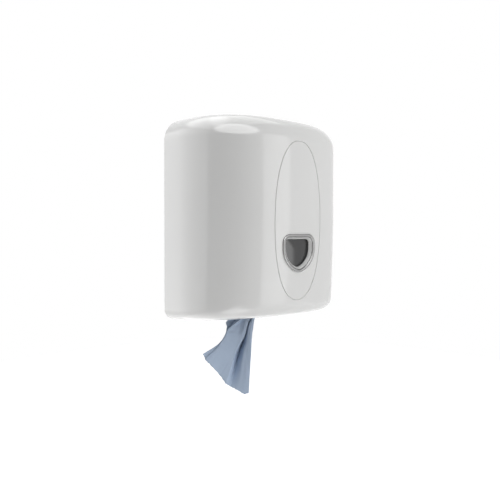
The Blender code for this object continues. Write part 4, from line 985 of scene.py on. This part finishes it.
def pan_screw(node_name, kind, length, matrix, steel, body):
    """A cross-recessed pan head with a rolled thread below it."""
    head_radius, head_height, radius = kind
    root = radius * 0.8
    pitch = radius * 0.75
    section = [(0.0, -length), (radius * 0.45, -length), (root, -length + radius)]
    level = -length + 1.4 * radius
    while level < -pitch:
        section += [(root, level), (radius, level + pitch * 0.35), (root, level + pitch * 0.7)]
        level += pitch
    section += [(root, -0.0001), (radius * 0.9, 0.0)]
    # Shares of the head's radius and height
    pan = [(0.97, 0.0), (1.0, 0.12), (1.0, 0.45), (0.93, 0.75)]
    pan += [(0.75, 0.93), (0.4, 1.0), (0.0, 1.0)]
    section += [(head_radius * wide, head_height * high) for wide, high in pan]
    cutters = cross_recess(head_height * 0.7, head_radius * 0.55, head_radius * 0.12)
    lift = Matrix.Translation((0.0, 0.0, head_height))
    steps = [("DIFFERENCE", placed(arm, lift)) for arm in cutters]
    mesh = carved(spun(section, 24), steps)
    mesh.transform(matrix)
    finished("steel_" + node_name, mesh, steel, body, [node_name])


def node_axis(name, along):
    """A screw solid's middle and the ends of its box, for a screw that lies along one axis."""
    low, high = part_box(name)
    middle = (low + high) / 2
    return middle, low["xyz".index(along)], high["xyz".index(along)]


def screws(steel):
    """Every screw, each put on the axis of its solid."""
    over = Matrix.Rotation(math.pi, 4, "X")
    head = TRAY_SCREW[1]
    for name in (
        "shelf_screw_left",
        "shelf_screw_right",
        "bracket_screw_left",
        "bracket_screw_right",
        "keeper_screw_lower",
        "keeper_screw_upper",
    ):
        middle, low, high = node_axis(name, "y")
        place = facing_room(Vector((middle.x, low + head, middle.z)))
        pan_screw(name, TRAY_SCREW, high - low - head, place, steel, "base")
    for name in ("tray_screw_left", "tray_screw_right"):
        middle, low, high = node_axis(name, "z")
        place = Matrix.Translation((middle.x, middle.y, low + head)) @ over
        pan_screw(name, TRAY_SCREW, high - low - head, place, steel, "base")
    head = WINDOW_SCREW[1]
    for word in ("upper_left", "upper_right", "lower_left", "lower_right"):
        name = "window_screw_" + word
        middle, low, high = node_axis(name, "y")
        place = facing_wall(Vector((middle.x, high - head, middle.z)))
        pan_screw(name, WINDOW_SCREW, high - low - head, place, steel, "cover")
    under = -BARREL_LENGTH - CAM_THICKNESS - 2 * FIT_GAP
    place = lock_matrix() @ Matrix.Translation((0.0, 0.0, under)) @ over
    pan_screw("cam_screw", CAM_SCREW, CAM_SCREW_LENGTH, place, steel, "lock")


def lock_barrel(chrome):
    """The barrel: a domed flange on the cover and a threaded body, bored for the plug."""
    top = FIT_GAP + BARREL_FLANGE_THICKNESS
    bore = PLUG_RADIUS + FIT_GAP
    head_bore = PLUG_HEAD_RADIUS + FIT_GAP
    shoulder = top - PLUG_HEAD_THICKNESS - FIT_GAP
    section = [
        (BARREL_FLANGE_RADIUS - 0.0002, FIT_GAP),
        (BARREL_FLANGE_RADIUS, FIT_GAP + 0.0002),
        (BARREL_FLANGE_RADIUS, top - 0.0008),
        (BARREL_FLANGE_RADIUS - 0.0003, top - 0.0003),
        (BARREL_FLANGE_RADIUS - 0.0009, top - 0.00005),
        (BARREL_FLANGE_RADIUS - 0.0016, top),
        (head_bore + 0.0003, top),
        (head_bore, top - 0.0003),
        (head_bore, shoulder),
        (bore, shoulder),
        (bore, -BARREL_LENGTH),
        (BARREL_RADIUS, -BARREL_LENGTH),
    ]
    pitch = 0.0008
    thread = 0.0004
    level = -BARREL_LENGTH + 0.0006
    while level < -0.0012:
        section += [(BARREL_RADIUS - thread, level), (BARREL_RADIUS, level + thread)]
        level += pitch
    section += [(BARREL_RADIUS, FIT_GAP)]
    barrel = placed(spun(section, LOCK_STEPS), lock_matrix())
    finished("chromed_barrel", barrel, chrome, "cover", ["lock_barrel"])


def lock_plug(chrome):
    """The plug that the key turns: a head with a keyway, and a square tail for the cam."""
    top = FIT_GAP + BARREL_FLANGE_THICKNESS
    head = PLUG_HEAD_RADIUS
    section = [
        (0.0, -BARREL_LENGTH),
        (PLUG_RADIUS, -BARREL_LENGTH),
        (PLUG_RADIUS, top - PLUG_HEAD_THICKNESS),
        (head, top - PLUG_HEAD_THICKNESS),
        (head, top - 0.0005),
        (head - 0.0002, top - 0.00015),
        (head - 0.0006, top),
        (head - 0.0016, top - 0.0001),
        (0.0, top - 0.00025),
    ]
    half = CAM_SQUARE / 2
    end = -BARREL_LENGTH - CAM_THICKNESS
    tail = softened(block((-half, -half, end), (half, half, -BARREL_LENGTH + 0.001)), 0.0003)
    width, length = KEY_SLOT_WIDTH / 2, KEY_SLOT_LENGTH / 2
    keyway = tapered(
        (
            (width, length, top - KEY_SLOT_DEPTH),
            (width, length, top - 0.0007),
            (width + 0.0005, length + 0.0003, top + 0.0003),
        )
    )
    ward_foot = (-0.0003, -0.0004, top - KEY_SLOT_DEPTH - 0.001)
    ward = block(ward_foot, (width + 0.001, 0.0006, top - 0.0009))
    steps = [("UNION", tail), ("DIFFERENCE", keyway), ("DIFFERENCE", ward)]
    mesh = carved(spun(section, LOCK_STEPS), steps)
    mesh.transform(lock_matrix())
    finished("chromed_plug", mesh, chrome, "lock", ["lock_plug"])


# Nozzle, roll and paper


def feed_nozzle(grey):
    """The funnel, with rounded rims and soft teeth round its exit."""
    top = -FIT_GAP
    under = top - NOZZLE_FLANGE_THICKNESS
    body_foot = under - NOZZLE_BODY_HEIGHT
    lip = NOZZLE_LIP_HEIGHT - NOZZLE_EXIT_DROP
    end = -NOZZLE_EXIT_DROP
    mouth = NOZZLE_BODY_RADIUS - NOZZLE_WALL
    exit_outer = NOZZLE_EXIT_RADIUS + NOZZLE_WALL
    section = [
        (NOZZLE_FLANGE_RADIUS, under),
        (NOZZLE_BODY_RADIUS, under),
        (NOZZLE_BODY_RADIUS, body_foot + 0.0008),
        (NOZZLE_BODY_RADIUS - 0.0008, body_foot),
        (exit_outer, lip),
        (exit_outer, end + 0.0016),
        (exit_outer, end + 0.0003),
        (exit_outer - 0.0003, end),
        (NOZZLE_EXIT_RADIUS + 0.0004, end),
        (NOZZLE_EXIT_RADIUS, end + 0.0004),
        (NOZZLE_EXIT_RADIUS, end + 0.0016),
        (NOZZLE_EXIT_RADIUS, lip),
        (NOZZLE_EXIT_RADIUS + 0.001, lip + 0.001),
        (mouth - 0.002, body_foot + NOZZLE_WALL - 0.001),
        (mouth, body_foot + NOZZLE_WALL + 0.002),
        (mouth, under - NOZZLE_WALL),
        (mouth + 0.0007, under - 0.001),
        (NOZZLE_BODY_RADIUS, top),
        (NOZZLE_FLANGE_RADIUS - 0.0004, top),
        (NOZZLE_FLANGE_RADIUS, top - 0.0003),
    ]
    shape = spun(section, NOZZLE_TEETH * 8)
    for vertex in shape.verts:
        if vertex.co.z < end + 0.0005:
            turn = math.atan2(vertex.co.y, vertex.co.x)
            vertex.co.z += NOZZLE_TOOTH * (0.5 - 0.5 * math.cos(NOZZLE_TEETH * turn)) ** 2
    place = Matrix.Translation(ROLL_CENTRE + Vector((0.0, 0.0, SHELF_LEVEL)))
    finished("feed_funnel", placed(shape, place), grey, "base", ["feed_nozzle"])


def paper_roll(tissue):
    """The wound roll: soft edges, ends ribbed by the windings, a loose outer end and an open
    middle."""
    low = SHELF_LEVEL + FIT_GAP
    high = low + ROLL_HEIGHT
    ribs = 34
    rib_dips = (0.0001, 0.0006)
    unevenness = 0.0004
    loose_step = 0.0005
    slack = 0.0011
    waviness = 0.0005
    start = ROLL_BORE_RADIUS + 0.0004
    span = ROLL_RADIUS - ROLL_BORE_RADIUS - 0.0022
    windings = []
    for index in range(ribs + 1):
        windings.append((start + span * index / ribs, rib_dips[index % 2]))
    section = [(ROLL_BORE_RADIUS, low + 0.001), (ROLL_BORE_RADIUS, high - 0.001)]
    for radius, dip in windings:
        uneven = unevenness * noise.noise(Vector((radius * 400, 3.7, 0.0)))
        section.append((radius, high - dip - abs(uneven)))
    section += [(ROLL_RADIUS - 0.0009, high - 0.0004), (ROLL_RADIUS - 0.0002, high - 0.0016)]
    section += [(ROLL_RADIUS - 0.0001, high - 0.02 * step) for step in range(1, 10)]
    section += [(ROLL_RADIUS - 0.0002, low + 0.0016), (ROLL_RADIUS - 0.0009, low + 0.0004)]
    section += [(radius, low + dip) for radius, dip in reversed(windings)]
    shape = spun(section, 160)
    for vertex in shape.verts:
        radius = math.hypot(vertex.co.x, vertex.co.y)
        turn = math.atan2(vertex.co.y, vertex.co.x) % math.tau
        spiral = loose_step * (turn / math.tau)
        around = Vector((math.cos(turn), math.sin(turn), 0.0))
        wave = noise.noise(around * 2.2 + Vector((0.0, 0.0, vertex.co.z * 18)))
        share = (radius - ROLL_BORE_RADIUS) / (ROLL_RADIUS - ROLL_BORE_RADIUS)
        radius_new = radius - slack + spiral * share + waviness * wave
        if share < 0.03:
            dent = noise.noise(around * 3.5 + Vector((0.0, 0.0, vertex.co.z * 25 + 9)))
            radius_new += 0.0012 + 0.0012 * dent
        vertex.co.x *= radius_new / radius
        vertex.co.y *= radius_new / radius
    roll = placed(shape, Matrix.Translation(ROLL_CENTRE))
    finished("wound_roll", roll, tissue, "base", ["paper_roll"], math.radians(60))


# The folds of the hanging sheet from its left edge to its right, each as points in millimetres from
# below the nozzle to the torn edge. The first and the last ones lie behind the panels that show.
FOLD_LINES = (
    ((-11, -75, -170), (-14, -71, -187), (-23, -68, -205), (-33, -66, -224), (-44, -65, -251)),
    ((-22, -61, -172), (-25, -61, -187), (-33, -62, -202), (-45, -61, -217), (-59, -58, -242)),
    ((-21, -76, -168), (-26, -71, -184), (-33, -69, -199), (-48, -65, -214), (-69, -56, -235)),
    ((-45, -72, -168), (-51, -79, -178), (-57, -84, -189), (-67, -80, -203), (-89, -68, -218)),
    ((-27, -73, -168), (-39, -76, -179), (-48, -83, -189), (-64, -80, -206), (-85, -68, -225)),
    ((-33, -87, -169), (-53, -86, -181), (-56, -86, -189), (-68, -80, -208), (-85, -71, -229)),
    ((-25, -85, -168), (-30, -87, -181), (-42, -88, -194), (-60, -83, -210), (-78, -72, -236)),
    ((-20, -92, -167), (-26, -93, -182), (-33, -91, -199), (-46, -85, -227), (-61, -74, -256)),
    ((-15, -96, -165), (-21, -96, -179), (-27, -94, -195), (-39, -89, -222), (-52, -79, -271)),
    ((-5, -79, -170), (-8, -72, -187), (-13, -68, -206), (-24, -70, -233), (-41, -76, -279)),
    ((-12, -97, -165), (-19, -96, -181), (-22, -95, -199), (-27, -91, -229), (-34, -85, -283)),
    ((-11, -98, -165), (-16, -99, -181), (-19, -100, -200), (-22, -98, -231), (-26, -94, -289)),
    ((-7, -98, -165), (-12, -100, -182), (-15, -101, -201), (-17, -101, -235), (-19, -99, -287)),
    ((-8, -79, -169), (-9, -79, -188), (-12, -78, -210), (-17, -77, -241), (-23, -77, -280)),
    ((2, -78, -171), (0, -77, -191), (-4, -76, -213), (-9, -75, -243), (-15, -76, -284)),
    ((-4, -67, -173), (-6, -66, -192), (-10, -65, -214), (-18, -65, -243), (-27, -67, -276)),
    ((4, -67, -174), (2, -66, -195), (-3, -66, -217), (-10, -66, -243), (-19, -67, -274)),
)
SHEET_WIDTH = 0.200
SHEET_LENGTH = 0.27
PLY_THICKNESS = 0.0003
LEG_STEPS = 11
EASING_PASSES = 3
# The torn edge: points to a perforation, and the height of its teeth and of its raggedness
TEAR_PITCH = 5.0
TEAR_TOOTH = 0.0009
TEAR_RAGGEDNESS = 0.0008
# How far broad, fine and upright crumples move the free sheet
CRUMPLES = (0.0008, 0.0003, 0.0006)
# Rows of the sheet: down to the nozzle's exit, below it, held smooth, and those over which it
# comes free
COLUMN_ROWS = 30
HANGING_ROWS = 66
HELD_ROWS = 34
FREEING_ROWS = 18
# The pleated sheet in the nozzle's throat, and rises over the exit with the pleats' flare there
PLEATS_REACH = 0.0072
THROAT_RADIUS = 0.0094
THROAT_SHARE = 0.78
THROAT_RISES = (0.018, 0.009, 0.0)
COLUMN_FLARES = ((0.118, 2.9), (0.085, 2.3), (0.042, 1.15))


def smooth_path(points, count):
    """Points along a Catmull-Rom curve through the given ones."""
    ends = [2 * points[0] - points[1]] + list(points) + [2 * points[-1] - points[-2]]
    spans = len(points) - 1
    made = []
    for step in range(count + 1):
        place = min(step / count * spans, spans - 1e-9)
        first = int(place)
        t = place - first
        a, b, c, d = ends[first : first + 4]
        bends = (c - a) * t + (2 * a - 5 * b + 4 * c - d) * t * t + (3 * b - a - 3 * c + d) * t**3
        made.append(0.5 * (2 * b + bends))
    return made


def fold_path(index, line):
    """One fold from the roll's bore through the nozzle, where the sheet is pleated, to the torn
    edge."""
    x = PLEATS_REACH * (2 * index / (len(FOLD_LINES) - 1) - 1)
    deep = THROAT_SHARE * math.sqrt(THROAT_RADIUS**2 - x**2)
    y = deep if index % 2 else -deep
    above = []
    for rise, flare in COLUMN_FLARES:
        above.append(Vector((x * flare, y * flare - ROLL_DEPTH, NOZZLE_EXIT + rise)))
    throat = [Vector((x, y - ROLL_DEPTH, NOZZLE_EXIT + rise)) for rise in THROAT_RISES]
    hanging = [Vector(point) / 1000 for point in line]
    column = smooth_path(above + throat, COLUMN_ROWS)
    return column[:-1] + smooth_path([throat[-1]] + hanging, HANGING_ROWS)


def sheet_rows(paths):
    """Rows across the sheet from fold to fold, with every fold eased and the last row torn along
    perforations."""
    rows = []
    for corners in zip(*paths):
        row = [corners[0]]
        for before, after in zip(corners, corners[1:]):
            row += [before.lerp(after, step / LEG_STEPS) for step in range(1, LEG_STEPS + 1)]
        for _ in range(EASING_PASSES):
            inner = [0.5 * b + 0.25 * (a + c) for a, b, c in zip(row, row[1:], row[2:])]
            row = [row[0]] + inner + [row[-1]]
        rows.append(row)
    for index, point in enumerate(rows[-1]):
        tooth = abs((index / TEAR_PITCH) % 1 - 0.5) * 2
        ragged = noise.noise(Vector((index * 0.35, 0.0, 5.0)))
        rise = TEAR_TOOTH * tooth + TEAR_RAGGEDNESS * ragged
        rows[-1][index] = point + rise * (rows[-3][index] - point).normalized()
    return rows


def tissue_tail(tissue):
    """The torn sheet that hangs from the nozzle, a little crumpled where it is free."""
    paths = [fold_path(index, line) for index, line in enumerate(FOLD_LINES)]
    rows = sheet_rows(paths)
    count = len(rows[0])
    last = len(rows) - 1
    shape = swept(rows)
    station = shape.verts.layers.int["station"]
    level = shape.verts.layers.int["level"]
    shape.normal_update()
    moves = {}
    for vertex in shape.verts:
        free = min(max((vertex[level] - HELD_ROWS) / FREEING_ROWS, 0.0), 1.0)
        place = Vector((vertex[station] / count * 9.0, vertex[level] / last * 7.0, 0.3))
        broad = noise.noise(place)
        fine = noise.noise(place * 3.1 + Vector((7.0, 1.0, 2.0)))
        pleat = noise.noise(Vector((place.x * 5.5, place.y * 0.6, 4.0)))
        crumple = CRUMPLES[0] * broad + CRUMPLES[1] * fine + CRUMPLES[2] * pleat
        moves[vertex] = free * crumple * vertex.normal
    for vertex, move in moves.items():
        vertex.co += move
    cloth = shape.loops.layers.uv.new("cloth")
    for face in shape.faces:
        for loop in face.loops:
            across, along = loop.vert[station] / count, loop.vert[level] / last
            loop[cloth].uv = (across * SHEET_WIDTH, along * SHEET_LENGTH)
    crease = math.radians(80)
    piece = finished("tissue_tail", shape, tissue, "paper", ["paper_tail"], crease)
    solid = piece.modifiers.new("ply", "SOLIDIFY")
    solid.thickness = PLY_THICKNESS
    solid.offset = 0.0


# Pieces whose solids have the right shape: copies with their edges eased


def eased_copy(name, node_name, material, body, width):
    """A merged copy of a solid whose sharp edges are rounded as a moulding's or a pressing's
    are."""
    shape = bmesh.new()
    shape.from_mesh(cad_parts[node_name].data)
    bmesh.ops.remove_doubles(shape, verts=shape.verts, dist=2e-6)
    bmesh.ops.dissolve_limit(
        shape,
        angle_limit=math.radians(0.6),
        verts=shape.verts,
        edges=shape.edges,
        use_dissolve_boundaries=False,
    )
    softened(shape, width, 38)
    piece = finished(name, shape, material, body, [node_name], EASED_ANGLE)
    weighted = piece.modifiers.new("flats", "WEIGHTED_NORMAL")
    weighted.keep_sharp = True


# Studio

# The camera was fitted to the photo's outline of the cover.
CAMERA_LENS = 31.84
CAMERA_SENSOR = 36.0
CAMERA_SHIFT = (-0.0336, -0.0231)
CAMERA_PLACE = Vector((-0.3998, -0.7144, -0.0265))
CAMERA_VIEW = Vector((0.5595, 0.8287, -0.0089))
LAMPS_AIM = Vector((0.0, -0.1, 0.0))
WORLD_LIGHT = 0.10
FLOOR_LIFT = 0.85
FLOOR_RADIUS = 1.7
FLOOR_LEVEL = -0.62

# Name, azimuth and elevation in degrees, distance, width and height in metres, power in watts, and
# what it lights. The three cards stand where the photo's soft patches come from and show in the
# gloss alone.
SOFTBOXES = (
    ("left_softbox", -135.0, 2.0, 1.5, 1.55, 1.9, 8.5, "all"),
    ("right_softbox", 10.0, 2.0, 1.5, 1.0, 1.9, 9.4, "all"),
    ("far_right_softbox", 42.0, 2.0, 1.5, 0.65, 1.9, 6.8, "diffuse"),
    ("upper_front_softbox", -42.0, 44.0, 1.5, 1.0, 0.42, 3.1, "diffuse"),
    ("upper_rear_softbox", -140.0, 55.0, 1.5, 0.8, 0.7, 4.4, "diffuse"),
    ("top_softbox", -150.0, 80.0, 0.95, 1.0, 0.8, 3.0, "all"),
    ("table_bounce", -150.0, -76.0, 0.6, 0.8, 0.8, 1.5, "all"),
    ("low_front_bounce", -48.0, -28.0, 0.9, 0.6, 0.3, 0.55, "diffuse"),
    ("top_card", -57.0, 48.0, 1.5, 1.9, 1.3, 26.0, "gloss"),
    ("rear_card", -138.0, 55.0, 1.5, 1.9, 1.0, 6.0, "gloss"),
    ("low_card", -52.0, -44.5, 0.55, 0.36, 0.38, 0.95, "gloss"),
)


def softbox(name, azimuth, elevation, distance, width, height, power, lights):
    """A lamp that faces the object; azimuth 0 is in front of it and +90 on its right. A card is an
    ellipse."""
    light = bpy.data.lights.new(name, "AREA")
    light.shape = "ELLIPSE" if lights == "gloss" else "RECTANGLE"
    light.size = width
    light.size_y = height
    light.energy = power
    lamp = in_scene(name, light)
    a, e = math.radians(azimuth), math.radians(elevation)
    away = Vector((math.sin(a) * math.cos(e), -math.cos(a) * math.cos(e), math.sin(e)))
    turn = away.to_track_quat("Z", "Y").to_matrix().to_4x4()
    lamp.matrix_world = Matrix.Translation(LAMPS_AIM + distance * away) @ turn
    lamp.visible_camera = False
    lamp.visible_diffuse = lights != "gloss"
    lamp.visible_glossy = lights != "diffuse"


def photo_camera():
    """The camera, at the photo's place and angle."""
    optics = bpy.data.cameras.new("camera")
    optics.lens = CAMERA_LENS
    optics.sensor_width = CAMERA_SENSOR
    optics.shift_x, optics.shift_y = CAMERA_SHIFT
    camera = in_scene("camera", optics)
    turn = CAMERA_VIEW.to_track_quat("-Z", "Y").to_matrix().to_4x4()
    camera.matrix_world = Matrix.Translation(CAMERA_PLACE) @ turn
    bpy.context.scene.camera = camera


def white_world():
    """A white surround for the camera and the reflections, and a little even light on everything
    else."""
    world = bpy.data.worlds.new("white_studio")
    world.use_nodes = True
    tree = world.node_tree
    levels = {"Value": seen_rays(tree), "To Min": WORLD_LIGHT, "To Max": 1.0}
    strength = node(tree, "MapRange", levels)
    wired(tree, tree.nodes["Background"], {"Color": WHITE, "Strength": strength})
    bpy.context.scene.world = world


def studio():
    """Camera, lamps, surround and floor."""
    bpy.context.scene.view_settings.view_transform = "Standard"
    photo_camera()
    for lamp in SOFTBOXES:
        softbox(*lamp)
    white_world()

    shape = bmesh.new()
    bmesh.ops.create_circle(shape, cap_ends=True, segments=96, radius=FLOOR_RADIUS)
    bmesh.ops.translate(shape, verts=shape.verts, vec=(0.0, 0.0, FLOOR_LEVEL))
    mesh = as_mesh("studio_floor", shape)
    mesh.materials.append(pale_floor())
    floor = in_scene("studio_floor", mesh)


def dress():
    """Every piece with its material, and the edges in metres that the copied solids' edges are
    eased to."""
    gloss = gloss_abs()
    satin = satin_abs()
    grey = grey_polypropylene()
    silver = silver_lacquered_abs()
    smoked = smoked_polycarbonate()
    rubber = black_rubber()
    steel = zinc_plated_steel()
    chrome = chrome_plated_zinc()

    cover_shell(gloss, satin)
    window_bezel(silver)
    window_collar(satin)
    window_seal_and_gap_shade(rubber)
    window_lens(smoked)
    feed_nozzle(grey)
    paper_roll(wound_tissue())
    tissue_tail(blue_tissue())
    screws(steel)
    lock_barrel(chrome)
    lock_plug(chrome)

    eased_copy("moulded_plate", "back_plate", satin, "base", 0.0004)
    eased_copy("moulded_tray", "roll_shelf", satin, "base", 0.0004)
    eased_copy("clamp_ring", "nozzle_ring", grey, "base", 0.0004)
    eased_copy("lens_frame", "window_retainer", grey, "cover", 0.0003)
    eased_copy("steel_keeper", "latch_keeper", steel, "base", 0.0003)
    eased_copy("barrel_nut", "lock_nut", steel, "cover", 0.0003)
    eased_copy("steel_cam", "lock_cam", steel, "lock", 0.0002)
    for word in ("left", "right"):
        eased_copy(f"steel_bracket_{word}", f"shelf_bracket_{word}", steel, "base", 0.0003)
        eased_copy(f"bush_{word}", f"hinge_bush_{word}", grey, "base", 0.00015)
        eased_copy(f"steel_pin_{word}", f"hinge_pin_{word}", steel, "cover", 0.0002)
        eased_copy(f"steel_clip_{word}", f"pin_clip_{word}", steel, "cover", 0.00015)


dress()
studio()
